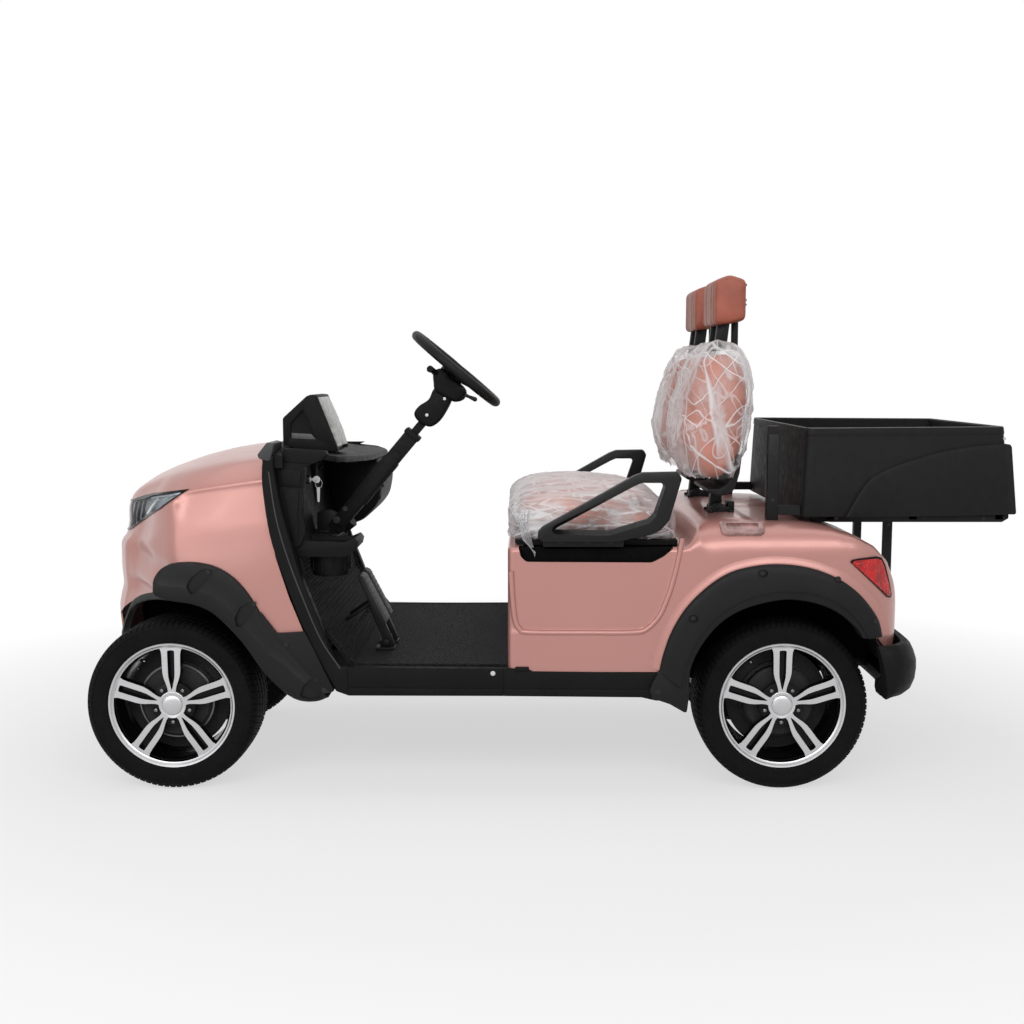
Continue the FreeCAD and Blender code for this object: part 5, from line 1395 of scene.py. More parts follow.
def film_over(name, rows, away_of, push_of, keep, lowest=0.0):
    """A film over a pad's rows, pushed out along the pad's normals; keep picks its faces by height."""
    made = []
    for i, row in enumerate(rows):
        line = []
        for j, point in enumerate(row):
            du = Vector(row[(j + 1) % len(row)]) - Vector(row[j - 1])
            dv = Vector(rows[min(len(rows) - 1, i + 1)][j]) - Vector(rows[max(0, i - 1)][j])
            normal = du.cross(dv).normalized()
            if normal.dot(away_of(*point)) < 0:
                normal = -normal
            place = Vector(point) + normal * push_of(*point)
            line.append((place.x, place.y, max(place.z, lowest)))
        made.append(line)
    points, faces = grid(made, round_columns=True)
    width = len(made[0])
    for end in (0, len(made) - 1):
        centre = sum((Vector(point) for point in made[end]), Vector((0, 0, 0))) / width
        points.append(tuple(centre))
        faces += [(end * width + j, end * width + (j + 1) % width, len(points) - 1) for j in range(width)]
    return mesh_object(name, Form((points, [face for face in faces if keep([points[k][2] for k in face])])))


CUSHION_LINE = [(820, 790), (833, 812), (839, 850), (832, 886), (810, 910), (770, 926), (700, 935),
                (600, 936), (500, 928), (430, 914), (380, 893), (348, 862), (337, 832), (340, 800),
                (360, 789), (600, 788)]
CUSHION_FOOT = 0.7875                      # height of the pedestal's seat well under the pad


def make_seat_cushion():
    """The bench cushion, a soft pad, and the clear film draped over it."""
    outline = rz(CUSHION_LINE)
    rows = pad_rows(outline, -0.500, 0.500, 0.085, 90, 60, 0.015, 0.030)
    pad = mesh_object("seat_cushion_pad", Form(loft(rows)))
    puffed(pad, 0.010, 0.012)
    for vert in pad.data.vertices:
        vert.co.z = max(vert.co.z, CUSHION_FOOT)
    finish_piece(pad, PINK, "seat", ["seat_cushion"], "upholstery", 60)

    def push(x, y, z):
        here = (x, y, z)
        long_fold = folds(here, (3.2, 13, 19), (0, 1, 1), 3.7, 1.5)
        fine_fold = folds(here, (6, 30, 40), (0, 1, 1), 9.1, 1.5)
        crumple = folds(here, (14, 14, 14), (1, 1, 1), 5.3, 1.6)
        front = smoothstep(x, rx(730), rx(835))
        side_drop = smoothstep(abs(y), 0.44, 0.51) * smoothstep(0.87 - z, 0, 0.07)
        return (0.0015 + 0.0090 * long_fold * (1 - 0.5 * front) + 0.0016 * fine_fold
                + 0.0070 * crumple * front + 0.006 * side_drop)

    film = film_over("cushion_film", pad_rows(outline, -0.510, 0.510, 0.080, 190, 170, 0.0, 0.030),
                     lambda x, y, z: Vector((x - rx(580), y * 0.4, z - 0.86)), push,
                     lambda heights: sum(heights) / len(heights) > CUSHION_FOOT + 0.0006,
                     CUSHION_FOOT - 0.0008)
    finish_piece(film, FILM_SEAT, "seat", slot="upholstery", angle=70)


def make_film_tail():
    """The cushion film's spare end, gathered and hanging at the front corner."""
    spine = spline([(812, 0.520, 0.884), (806, 0.532, 0.850), (796, 0.540, 0.815), (788, 0.546, 0.785),
                    (776, 0.552, 0.762), (766, 0.556, 0.742)], 12)
    rows = []
    for k, (x, y, z) in enumerate(spine):
        s = k / (len(spine) - 1)
        width = 0.040 - 0.020 * math.sin(math.pi * min(1, s * 1.5)) + 0.012 * s
        twist = 0.5 + 1.1 * s
        row = []
        for t in np.linspace(-1, 1, 41):
            pleat = 0.0045 * math.sin(t * 15 + 2.2 * s) + 0.003 * field.noise(Vector((t * 3, s * 5, 7)))
            across = Vector((math.cos(twist), 0.35 * math.sin(twist), 0.28 * math.sin(twist)))
            row.append(tuple(Vector((rx(x), y, z)) + across * (width * t) + Vector((0, pleat + 0.004, 0))))
        rows.append(row)
    obj = mesh_object("film_tail", Form(grid(rows)))
    finish_piece(obj, FILM_SEAT, "seat", slot="upholstery", angle=70)


BACK_LINE = [(228, 940), (262, 956), (292, 1000), (311, 1050), (319, 1100), (313, 1170), (298, 1230),
             (276, 1290), (254, 1340), (226, 1366), (188, 1374), (150, 1366), (124, 1320), (107, 1250),
             (106, 1180), (117, 1100), (136, 1020), (166, 962), (196, 942)]


def make_seat_back(side, name, seed):
    """One seat back, a soft pad, and the film bag pulled over it."""
    outline = rz(BACK_LINE)
    near, far = sorted((side * 0.072, side * 0.468))
    rows = pad_rows(outline, near, far, 0.070, 80, 40, 0.021)
    pad = mesh_object("seat_back_pad_" + name, Form(loft(rows)))
    puffed(pad, 0.009, 0.011)
    finish_piece(pad, SALMON, nodes=["seat_backs"] if name == "left" else (), slot="upholstery", angle=60)

    def push(x, y, z):
        tall = folds((x, y, z), (15, 15, 3), (1, 1, 0), seed + 1.7, 1.8)
        slant = folds((x * 0.8 + z * 0.6, y, z * 0.8 - x * 0.6), (17, 9, 4), (1, 0, 0), seed + 4.1, 2.4)
        other = folds((x * 0.8 - z * 0.6, y, z * 0.8 + x * 0.6), (15, 9, 5), (1, 0, 0), seed + 8.2, 2.4)
        return 0.001 + 0.0060 * tall + 0.0065 * slant + 0.0055 * other + 0.004 * smoothstep(z, 1.31, 1.37)

    film = film_over("back_film_" + name, pad_rows(outline, near - 0.006, far + 0.006, 0.066, 170, 90),
                     lambda x, y, z: Vector((x - rx(210), y - side * 0.27, z - 1.155)), push,
                     lambda heights: min(heights) > 0.968)
    finish_piece(film, FILM_BACK, slot="upholstery", angle=70)


def make_seat_shells():
    """The black shell that holds each back at its foot, with its hinge and bracket."""
    shell = [(232, 936), (196, 936), (172, 950), (156, 985), (140, 1040), (128, 1040), (134, 985),
             (146, 940), (160, 920), (196, 912), (236, 924)]
    form = Form(plate(rz(softened(shell, 6, 2)), 0.105, 0.435))
    piece("seat_back_shell", form.mirror(), SEAT_SHELL, slot="black_plastic", edge=0.004, segments=3,
          angle=40)
    post = softened([(208, 842), (200, 930), (166, 930), (168, 842)], 4, 2)
    foot = softened([(210, 838), (206, 868), (192, 880), (172, 880), (160, 872), (140, 862), (138, 838)],
                    4, 2)
    form = Form(plate(rz(post), 0.250, 0.290), plate(rz(foot), 0.222, 0.234), plate(rz(foot), 0.306, 0.318),
                block((rx(214), 0.206, 0.842), (rx(134), 0.334, 0.850)),
                block((rx(150), 0.240, 0.850), (rx(128), 0.300, 0.884)),
                tube([(rx(186), 0.214, 0.866), (rx(186), 0.326, 0.866)], 0.008, 12))
    for x, y in ((206, 0.214), (206, 0.326), (142, 0.214), (142, 0.326)):
        form.add(slab(circle(0.009, 6, (rx(x), y)), 0.848, 0.858))
    stem = [(207, 1360), (197, 1442), (159, 1448), (169, 1360)]
    upright = [(142, 1358), (142, 1452), (122, 1454), (122, 1356)]
    for shape, y in ((stem, 0.190), (stem, 0.330), (upright, 0.262)):
        form.add(plate(rz(softened(shape, 3, 2)), y - 0.011, y + 0.011))
    piece("seat_posts", form.mirror(), STEEL, nodes=["seat_back_frame"], slot="frame_steel", edge=0.0025,
          angle=36)


HEADREST_Y = 0.247                         # y of a headrest's middle


def make_headrest_pads():
    """Stitched two-tone headrests: a terracotta side, a browner front panel, a row of gathers."""
    outline = softened([(212, 1437), (116, 1452), (116, 1574), (166, 1590), (212, 1572)],
                       [16, 20, 20, 40, 24], 6)
    for side, name in ((1, "left"), (-1, "right")):
        line = evenly(rz(outline), 72)
        centre = line.mean(axis=0)
        rows = []
        for share in np.linspace(-1, 1, 56):
            y = share * 0.142
            past = max(0.0, abs(y) - 0.116) / 0.026
            draw = 0.020 * (1 - math.sqrt(max(0.0, 1 - past ** 2)))
            for seam in (-0.108, -0.055, 0.0, 0.055, 0.108):
                draw += 0.0035 * math.exp(-((y - seam) / 0.0022) ** 2)
            draw -= 0.0020 * abs(math.sin(y / 0.055 * math.pi))
            row = []
            for x, z in line:
                away = np.array([x, z]) - centre
                length = np.linalg.norm(away)
                keep = (length - draw) / length
                row.append((centre[0] + away[0] * keep, side * HEADREST_Y + y, centre[1] + away[1] * keep))
            rows.append(row)
        obj = mesh_object("headrest_pad_" + name, Form(loft(rows)))
        finish_piece(finer(obj), LEATHER, nodes=["headrests"] if side > 0 else (), slot="brown_leather",
                     angle=60)
        obj.data.materials.append(TERRACOTTA)
        for face in obj.data.polygons:
            off = abs(abs(face.center.y) - HEADREST_Y)
            face.material_index = int(off > 0.110 or off < 0.026)
    knob = [(0.00001, -0.006), (0.0045, -0.006), (0.0045, 0.006), (0.00001, 0.006)]
    knobs = Form(*(turned(knob, 10, (rx(115), 0.352, z)) for z in (1.560, 1.514, 1.500)))
    piping = Form()
    for side in (1, -1):
        line = evenly(rz(outline), 60)
        centre = line.mean(axis=0)
        path = []
        for x, z in line:
            away = np.array([x, z]) - centre
            away *= (np.linalg.norm(away) - 0.0005) / np.linalg.norm(away)
            path.append((centre[0] + away[0], side * (HEADREST_Y + 0.1155), centre[1] + away[1]))
        piping.add(tube(path, 0.0018, 6, closed=True))
    piece("headrest_piping", piping, LEATHER, slot="brown_leather", angle=60)
    piece("headrest_knobs", knobs.mirror(), STEEL, slot="frame_steel", angle=40)


TERRACOTTA = finish_of("terracotta_leather", (0.34, 0.090, 0.055), 0.44, vary=0.14, patch=16, grain=900,
                       cells=True, bump=0.30, depth=0.0005, shine=0.4)
make_seat_cushion()
make_film_tail()
make_seat_back(1, "left", 11.0)
make_seat_back(-1, "right", 23.0)
make_seat_shells()
make_headrest_pads()


# ---------------------------------------------------------------- dash, column, pedals and floor
DRIVER = 0.290                             # y of the steering column
LEAN = math.radians(50.0)                  # how far the steering wheel's plane leans back
SCREEN = finish_of("screen_film", (0.40, 0.40, 0.385), 0.3, vary=0.35, patch=60, grain=40,
                   bump=0.6, depth=0.003, shine=0.4)
# the pod's ledges in a paler grey than the pod
LEDGE = finish_of("pale_grey_ledge", (0.085, 0.085, 0.085), 0.5, vary=0.2, patch=30, grain=1200, bump=0.3)
CHROME = finish_of("key_steel", (0.40, 0.40, 0.40), 0.3, metal=0.9, vary=0.08, patch=40, grain=900,
                   bump=0.15, depth=0.0003)
PAD = finish_of("pedal_pad", (0.055, 0.055, 0.057), 0.5, vary=0.25, patch=40, grain=420, cells=True,
                bump=0.7, depth=0.0012, shine=0.3)


def moulding(name, form, cutters, node=(), edge=0.0035):
    """A black moulding: its openings cut first, then every edge rounded."""
    obj = cut(mesh_object(name, form), *cutters)
    if edge:
        bevel(obj, edge, 3, 30)
    finish_piece(obj, PLASTIC, nodes=node, slot="black_plastic", angle=32 if edge else 40)


def swelled(outline, stations):
    """Sections of a side-view outline in millimetres, each at its own y and share of the full size."""
    middle = np.mean(outline, axis=0)
    return loft([[(fx(middle[0] + (x - middle[0]) * keep), y, (middle[1] + (z - middle[1]) * keep) / 1000)
                  for x, z in outline] for y, keep in stations])


def make_dash_cheeks():
    """The dash's two side walls with their grooves, and a raised panel on each."""
    cheek = rounded_off(xz([(-352, 1031), (-374, 1066), (-500, 1058), (-500, 1046), (-479, 1029),
                            (-435, 1011), (-430, 949), (-422, 866), (-428, 800), (-418, 776), (-394, 766),
                            (-381, 773), (-366, 855), (-356, 929)]), 5, 2)
    # the passenger's side of the dash stands lower
    grooves = [Form(block((fx(-520), -0.60, 1.0325), (fx(-345), -0.50, 1.10)))]
    for side in (1, -1):
        low, high = sorted((side * 0.5525, side * 0.575))
        grooves.append(Form(plate(xz([(-340, 955), (-340, 952), (-440, 946), (-440, 949)]), low, high)))
        grooves.append(Form(plate(xz([(-352, 1030), (-352, 1026), (-500, 1014), (-500, 1018)]), low, high)))
    moulding("dash_cheeks", Form(plate(cheek, 0.516, 0.556)).mirror(), grooves, ["dash_panel"])
    # a raised panel below the ledge, which tapers towards the tray
    panel = rounded_off(xz([(-362, 1006), (-424, 1000), (-419, 955), (-367, 958)]), 5, 3)
    lower = rounded_off(xz([(-368, 946), (-417, 942), (-411, 870), (-413, 800), (-404, 782), (-396, 782),
                            (-383, 850)]), 6, 3)
    form = Form(plate(panel, 0.550, 0.5595), plate(lower, 0.550, 0.5595))
    piece("dash_side_panels", form.mirror(), PLASTIC, slot="black_plastic", edge=0.003, segments=3,
          angle=32)


def make_dash_body():
    """The wall behind the cavity, its shelf, the top with its lip, the bulge beside the column."""
    wall = xz([(-352, 1044), (-392, 1044), (-405, 900), (-420, 800), (-430, 776), (-400, 768), (-392, 800),
               (-376, 900)])
    shelf = rounded_off(xz([(-400, 776), (-420, 792), (-490, 788), (-496, 774), (-490, 762), (-410, 760)]),
                        4, 3)
    piece("dash_wall", Form(plate(wall, -0.530, 0.530), plate(shelf, -0.520, 0.386)), PLASTIC,
          slot="black_plastic", edge=0.004, segments=3)
    edge = [(-352, 540), (-500, 540), (-524, 520), (-540, 420), (-552, 300), (-566, 160), (-576, 40),
            (-580, -60), (-580, -460), (-566, -520), (-540, -540), (-352, -540)]
    edge = rounded_off(xz(edge), 20, 5)
    rings = []
    for z, shrink in ((1.0445, 0.010), (1.0405, 0.002), (1.044, 0.0), (1.051, 0.0), (1.056, 0.002),
                      (1.059, 0.007)):
        ring = []
        for x, y in edge:
            fall = 0.010 * (fx(-352) - x) / 0.15 + 0.018 * smoothstep(fx(-480) - x, 0.0, 0.12)
            fall += 0.022 * (0.54 - y) / 1.08
            away = Vector((x - fx(-420), y))
            keep = 1 - shrink / max(0.1, away.length)
            ring.append((fx(-420) + away.x * keep, away.y * keep, z - fall))
        rings.append(ring)
    piece("dash_top", Form(loft(rings)), PLASTIC, slot="black_plastic", angle=40)
    outline = spline([(-404, 1010), (-520, 1004), (-566, 996), (-588, 975), (-595, 924), (-590, 876),
                      (-578, 836), (-546, 797), (-512, 772), (-470, 764), (-420, 780), (-404, 880)], 5,
                     closed=True)
    bulge = swelled(outline, ((-0.528, 0.86), (-0.522, 0.95), (-0.505, 0.985), (-0.470, 1.0), (-0.30, 1.0),
                              (-0.16, 1.0), (-0.135, 0.985), (-0.122, 0.95), (-0.118, 0.88)))
    grooves = [Form(plate([(fx(-700), z), (fx(-700), z + 0.0025), (fx(-600), z + 0.0025), (fx(-600), z)],
                          -0.6, -0.1)) for z in (1.000, 0.905)]
    moulding("dash_bulge", Form(bulge), grooves, edge=None)
    # steps on the bulge's flank, seen past the column, and a latch on its door
    form = Form(*(block((fx(x) - 0.004, -0.16, z / 1000 - 0.012), (fx(x) + 0.012, -0.13, z / 1000 + 0.012))
                  for x, z in ((-597, 945), (-594, 905), (-583, 862))))
    form.add(block((fx(-603), -0.36, 0.955), (fx(-588), -0.30, 0.972)),
             block((fx(-412), 0.02, 0.835), (fx(-385), 0.20, 1.000)),
             block((fx(-418), 0.08, 0.972), (fx(-408), 0.14, 0.986)))
    piece("dash_fittings", form, PLASTIC, slot="black_plastic", edge=0.003, segments=3)


def make_key_switch():
    """The key switch with its key and ring, on the wall by the driver."""
    spot = Vector((fx(-408), 0.480, 0.968))

    def pin(places, radius, count, z=0.0):
        return tube([spot + Vector((x, 0, z)) for x in places], radius, count)

    form = Form(pin([0, -0.010, -0.030], [0.017, 0.016, 0.0125], 20), pin([0.004, -0.004], 0.022, 24),
                pin([0, -0.008], 0.012, 16, -0.050))
    piece("key_switch", form, STEEL, slot="black_plastic", edge=0.0012)
    ring = [(spot.x - 0.056 + 0.010 * math.cos(a), 0.480 + 0.004 * math.cos(a), 0.955 + 0.014 * math.sin(a))
            for a in around(20)]
    tag = softened([(spot.x - 0.060, 0.944), (spot.x - 0.050, 0.944), (spot.x - 0.052, 0.900),
                    (spot.x - 0.058, 0.898)], 0.002, 2)
    form = Form(block((spot.x - 0.052, 0.4788, 0.964), (spot.x - 0.028, 0.4812, 0.972)),
                plate(circle(0.011, 16, (spot.x - 0.050, 0.968)), 0.4786, 0.4814),
                tube(ring, 0.0010, 6, closed=True), plate(tag, 0.4794, 0.4816),
                pin([-0.0305, -0.0295], 0.0105, 20))
    piece("ignition_key", form, CHROME, slot="black_plastic", angle=40)


def make_pod():
    """Instrument pod: moulded side with a sunk triangle and ledge, and a filmed screen."""
    shell = rounded_off(xz([(-346, 1052), (-346, 1152), (-420, 1219), (-432, 1224), (-452, 1222),
                            (-476, 1160), (-518, 1050)]), [4, 14, 12, 8, 6, 4, 4], 4)
    triangle = rounded_off(xz([(-368, 1090), (-370, 1136), (-407, 1179), (-422, 1156), (-450, 1086)]), 6, 3)
    openings = [Form(plate(triangle, *sorted((DRIVER + side * 0.112, DRIVER + side * 0.16))))
                for side in (1, -1)]
    view = xz([(-446, 1208), (-500, 1260), (-560, 1060), (-503, 1052)])
    openings.append(Form(plate(view, DRIVER - 0.106, DRIVER + 0.106)))
    moulding("pod_shell", Form(plate(shell, 0.168, 0.412)), openings, ["display_pod"], 0.004)
    bar = rounded_off(xz([(-370, 1106), (-432, 1103), (-450, 1084), (-372, 1088)]), 2, 2)
    form = Form(plate(bar, DRIVER + 0.100, DRIVER + 0.1165), plate(bar, DRIVER - 0.1165, DRIVER - 0.100))
    piece("pod_ledges", form, LEDGE, slot="black_plastic", edge=0.002, segments=3)
    # the screen, with the protective film that bellies out of its frame
    rows = []
    for s in np.linspace(0, 1, 26):
        row = []
        x, z = -448 - 60 * s, 1212 - 152 * s
        for t in np.linspace(-1, 1, 34):
            lift = 7 + 17 * (1 - t ** 2) ** 0.5 * math.sin(math.pi * min(1, s + 0.02)) ** 0.5
            wave = 2.2 * field.noise(Vector((t * 4, s * 9, 3.0)))
            row.append((fx(x - (lift + wave) * 0.93), DRIVER + t * 0.110,
                        (z + (lift + wave) * -0.36 + 6) / 1000))
        rows.append(row)
    back = [[(x + 0.012, y, z + 0.004) for x, y, z in row] for row in rows]
    piece("pod_screen", Form(sheet_between(rows, back)), SCREEN, slot="lamp_clear", angle=40)


CUP = (-494, 0.462)                        # the cup well: mm from the front axle, and y


def make_cup_tray():
    """The tray beside the column, dished, with a ribbed cup well under it."""
    tray = rounded_off(xz([(-391, 738), (-391, 764), (-424, 788), (-548, 782), (-580, 796), (-590, 782),
                           (-586, 764), (-552, 738)]), 5, 3)
    cup = (fx(CUP[0]), CUP[1])
    dish = softened([(fx(-420), 0.402), (fx(-420), 0.532), (fx(-572), 0.532), (fx(-572), 0.402)], 0.014, 4)
    openings = [Form(slab(circle(0.044, 40, cup), 0.70, 0.83)), Form(slab(dish, 0.772, 0.84))]
    moulding("cup_tray", Form(plate(tray, 0.388, 0.546)), openings, ["cup_holder_tray"])
    well = ((0.052, 0.674), (0.056, 0.680), (0.061, 0.742), (0.061, 0.752), (0.044, 0.752),
            (0.043, 0.700), (0.040, 0.686))
    form = Form(loft([[(x, y, z) for x, y in circle(radius, 40, cup)] for radius, z in well]))
    form.add(*(tube([(x, y, 0.690), (x, y, 0.736)], 0.0025, 8) for x, y in circle(0.0595, 10, cup)))
    piece("cup_well", form, PLASTIC, slot="black_plastic", angle=38)


def make_column():
    """Foot bracket, wide sleeve, inner shaft, moulded clamp and switch housing."""
    low, high = Vector((-484, 0, 796)), Vector((-743, 0, 1103))
    run = (high - low).normalized()
    side = Vector((-run.z, 0, run.x))
    length = (high - low).length

    def bar(start, end, half, y_half):
        a, b = low + run * start, low + run * end
        ring = [a + side * half, b + side * half, b - side * half, a - side * half]
        return plate(rounded_off(xz([(p.x, p.z) for p in ring]), 5, 3), DRIVER - y_half, DRIVER + y_half)

    def arm(places, radii):
        return tube([(fx(x), DRIVER + y, z) for x, y, z in places], radii, 12)

    form = Form(bar(0, length * 0.97, 24, 0.026), bar(length * 0.05, length * 0.80, 17, 0.031),
                bar(length * 0.30, length * 0.72, 27.5, 0.020), bar(length * 0.955, length, 28, 0.030),
                bar(length * 0.60, length + 92, 13, 0.014))
    piece("column_sleeve", form, PLASTIC, nodes=["steering_column"], slot="black_plastic", edge=0.003,
          segments=3)
    bracket = rounded_off(xz([(-430, 778), (-430, 850), (-470, 856), (-510, 836), (-522, 806),
                              (-514, 784)]), 9, 4)
    form = Form(plate(bracket, DRIVER + 0.012, DRIVER + 0.018),
                plate(bracket, DRIVER - 0.018, DRIVER - 0.012),
                block((fx(-470), DRIVER - 0.037, 0.778), (fx(-400), DRIVER + 0.037, 0.792)))
    piece("column_bracket", form, STEEL, slot="black_plastic", edge=0.002)
    form = Form(*(bolt_head((fx(x), DRIVER + 0.0305, z), radius, 0.004)
                  for x, z, radius in ((-494, 0.826, 0.009), (-522, 0.862, 0.006))))
    piece("column_bolts", form, BOLT, slot="black_plastic", angle=40)
    # the clamp and the switch body are soft-edged mouldings, drawn as stations across the column
    clamp = spline([(-750, 1146), (-744, 1166), (-760, 1188), (-790, 1208), (-806, 1240), (-830, 1250),
                    (-860, 1226), (-862, 1206), (-846, 1172), (-824, 1140), (-798, 1122), (-772, 1128)], 4,
                   closed=True)
    switch = spline([(-812, 1232), (-806, 1262), (-806, 1290), (-822, 1304), (-846, 1300), (-866, 1276),
                     (-900, 1246), (-908, 1226), (-898, 1206), (-872, 1200), (-846, 1212)], 4, closed=True)
    form = Form()
    for outline, half, stations in ((clamp, 0.040, ((1, 0.80), (0.94, 0.92), (0.8, 0.985), (0.5, 1))),
                                    (switch, 0.052, ((1, 0.62), (0.95, 0.80), (0.85, 0.93), (0.6, 1)))):
        both = [(-share, keep) for share, keep in stations] + list(reversed(stations))
        form.add(swelled(outline, [(DRIVER + share * half, keep) for share, keep in both]))
    form.add(arm([(-812, 0.046, 1.292), (-806, 0.055, 1.298), (-798, 0.075, 1.303)], [0.010, 0.009, 0.011]),
             arm([(-900, -0.040, 1.222), (-912, -0.070, 1.215), (-930, -0.140, 1.205)],
                 [0.007, 0.005, 0.008]))
    piece("column_clamp", form, PLASTIC, slot="black_plastic", angle=40)
    bolts("clamp_bolts", [(fx(-841), DRIVER + 0.0395, 1.210), (fx(-785), DRIVER + 0.0395, 1.159)], 0.0036,
          0.003, BOLT_BRIGHT, "black_plastic", both=False)


def squared(angle, power):
    """A point on a curve between a circle and a square."""
    c, s = math.cos(angle), math.sin(angle)
    return math.copysign(abs(c) ** power, c), math.copysign(abs(s) ** power, s)


def make_steering():
    """Padded rim with its seam, three spokes, hub and blank pad, all about the joint's own axis."""
    low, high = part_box("steering_wheel")
    axis = Vector((-math.cos(LEAN), 0, math.sin(LEAN)))
    down = Vector((-math.sin(LEAN), 0, -math.cos(LEAN)))
    hub = Vector((fx(-877), DRIVER, 1.303))
    grip = 0.0165
    ring_radius = (high.y - low.y) / 2 - grip
    spokes = (0, math.pi / 2, -math.pi / 2)

    def at(u, v, w):
        return tuple(hub + down * u + Vector((0, 1, 0)) * v + axis * w)

    def turn_from(a, b):
        return (a - b + math.pi) % (2 * math.pi) - math.pi

    rings = []
    for a in (2 * math.pi * k / 96 for k in range(96)):
        near_spoke = min(abs(turn_from(a, spoke)) for spoke in spokes)
        thick = grip * (1 - 0.05 * math.exp(-(near_spoke / 0.12) ** 2))
        ring = []
        for b in (2 * math.pi * j / 20 for j in range(20)):
            r = thick * (1 - 0.055 * math.exp(-(turn_from(b, math.pi) / 0.12) ** 2))
            out = ring_radius + r * math.cos(b)
            ring.append(at(out * math.cos(a), out * math.sin(a), r * 0.92 * math.sin(b)))
        rings.append(ring)
    form = Form(grid(rings, round_rows=True, round_columns=True))
    piece("steering_rim", form, GRIP, body="steering_wheel", nodes=["steering_wheel"], slot="grip",
          angle=60)
    form = Form()
    for spoke in spokes:
        rows = []
        for s in np.linspace(0, 1, 12):
            r = 0.026 + (ring_radius - 0.026) * s
            width = 0.020 - 0.006 * math.sin(math.pi * s) + 0.004 * s
            depth = -0.024 * (1 - s) ** 1.4
            ring = []
            for across, up in (squared(b, 0.7) for b in around(12)):
                side = width * across
                ring.append(at(r * math.cos(spoke) - side * math.sin(spoke),
                               r * math.sin(spoke) + side * math.cos(spoke), depth + 0.0055 * up))
            rows.append(ring)
        form.add(loft(rows))
    boss = ((0.034, -0.016), (0.040, -0.020), (0.040, -0.034), (0.030, -0.048), (0.018, -0.062))
    form.add(loft([[at(u, v, w) for u, v in circle(r, 32)] for r, w in boss]))
    pad = [squared(a, 0.6) for a in around(40)]
    levels = ((1.0, -0.018), (1.0, -0.006), (0.96, 0.000), (0.86, 0.004), (0.5, 0.006))
    form.add(loft([[at(0.056 * keep * c, 0.066 * keep * s, w) for c, s in pad] for keep, w in levels]))
    piece("steering_hub", form, GRIP, body="steering_wheel", slot="grip", angle=40)


def make_pedals():
    """Two pedals: a ribbed pad on each arm, with its pivot, rod and spring."""
    form = Form()
    pads = Form()
    for y, half in ((0.318, 0.046), (0.206, 0.032)):
        face = rounded_off(xz([(-562, 650), (-574, 655), (-650, 504), (-646, 488), (-632, 492)]), 6, 3)
        pad = rounded_off(xz([(-572, 655), (-584, 648), (-656, 508), (-650, 496), (-644, 500)]), 4, 3)
        pads.add(plate(pad, y - half + 0.004, y + half - 0.004))
        for s in ((k + 0.7) / 9.6 for k in range(9)):
            x, z = -583 - 72 * s, 650 - 142 * s
            pads.add(tube([(fx(x), y - half + 0.010, z / 1000), (fx(x), y + half - 0.010, z / 1000)],
                          0.0028, 8))
        arm = rounded_off(xz([(-600, 590), (-616, 560), (-664, 452), (-676, 424), (-668, 409), (-626, 409),
                              (-634, 450), (-600, 530), (-586, 580)]), 8, 3)
        spring = []
        for k in range(90):
            a = k * 0.45
            base = Vector((fx(-598), y - 0.016, 0.545)).lerp(Vector((fx(-545), y - 0.016, 0.475)), k / 89)
            coil = Vector((0.004 * math.cos(a), 0.006 * math.sin(a), 0.004 * math.cos(a)))
            spring.append(tuple(base + coil))
        form.add(plate(face, y - half, y + half), plate(arm, y - 0.008, y + 0.008),
                 block((fx(-676), y - 0.026, 0.4095), (fx(-616), y + 0.026, 0.417)),
                 tube([(fx(-650), y - 0.020, 0.432), (fx(-650), y + 0.020, 0.432)], 0.010, 16),
                 tube([(fx(-600), y + 0.012, 0.560), (fx(-520), y + 0.012, 0.505)], 0.006, 12),
                 tube(spring, 0.0012, 6))
    piece("pedal_arms", form, STEEL, nodes=["pedals"], slot="pedal_steel", edge=0.0015)
    piece("pedal_pads", pads, PAD, slot="pedal_steel", edge=0.0012)


def make_floor():
    """Pebbled mat with a raised border, and a ribbed toe board."""
    outline = softened([(fx(-566), -0.548), (fx(-566), 0.548), (fx(-1062), 0.560), (fx(-1476), 0.538),
                        (fx(-1476), -0.538), (fx(-1062), -0.560)], 0.012, 4)
    middle = fx(-1020)
    rings = [[(middle + (x - middle) * (1 - shrink / 0.45), y * (1 - shrink / 0.55), z) for x, y in outline]
             for z, shrink in ((0.4050, 0.0), (0.4098, 0.0), (0.4108, 0.002), (0.4108, 0.014),
                               (0.4090, 0.018))]
    piece("floor_mat", Form(loft(rings)), MAT, slot="floor_rubber", angle=50)
    form = Form()
    for z in (412 + 300 * (k + 0.5) / 26 for k in range(26)):
        x = -568 + (z - 405) * 0.778 if z < 560 else -447 + (z - 560) * 0.231
        form.add(tube([(fx(x), -0.525, z / 1000), (fx(x), 0.525, z / 1000)], 0.0032, 8))
    form.add(*(tube([(fx(-568), y, 0.410), (fx(-447), y, 0.560), (fx(-410), y, 0.735)], 0.008, 10)
               for y in (-0.53, 0.53)))
    piece("toe_ribs", form, MAT, slot="floor_rubber", angle=60)


make_dash_cheeks()
make_dash_body()
make_key_switch()
make_pod()
make_cup_tray()
make_column()
make_steering()
make_pedals()
make_floor()


# ---------------------------------------------------------------- armrests, cargo tub and its frame
ARM_PLASTIC = finish_of("armrest_plastic", (0.0072, 0.0072, 0.0075), 0.46, vary=0.15, patch=12, grain=1500,
                        bump=0.3, depth=0.0004, shine=0.22)
HANDLE = finish_of("handle_film", (0.36, 0.20, 0.185), 0.22, vary=0.45, patch=34, grain=90, bump=0.5,
                   depth=0.002, coat=(0.5, 0.08))
# pale grey: a painted highlight for the edge of the tub's rim
TUB_RIM_HIGHLIGHT = finish_of("tub_rim_painted_highlight", (0.10, 0.10, 0.10), 0.4, vary=0.2, patch=20, grain=900, bump=0.2)


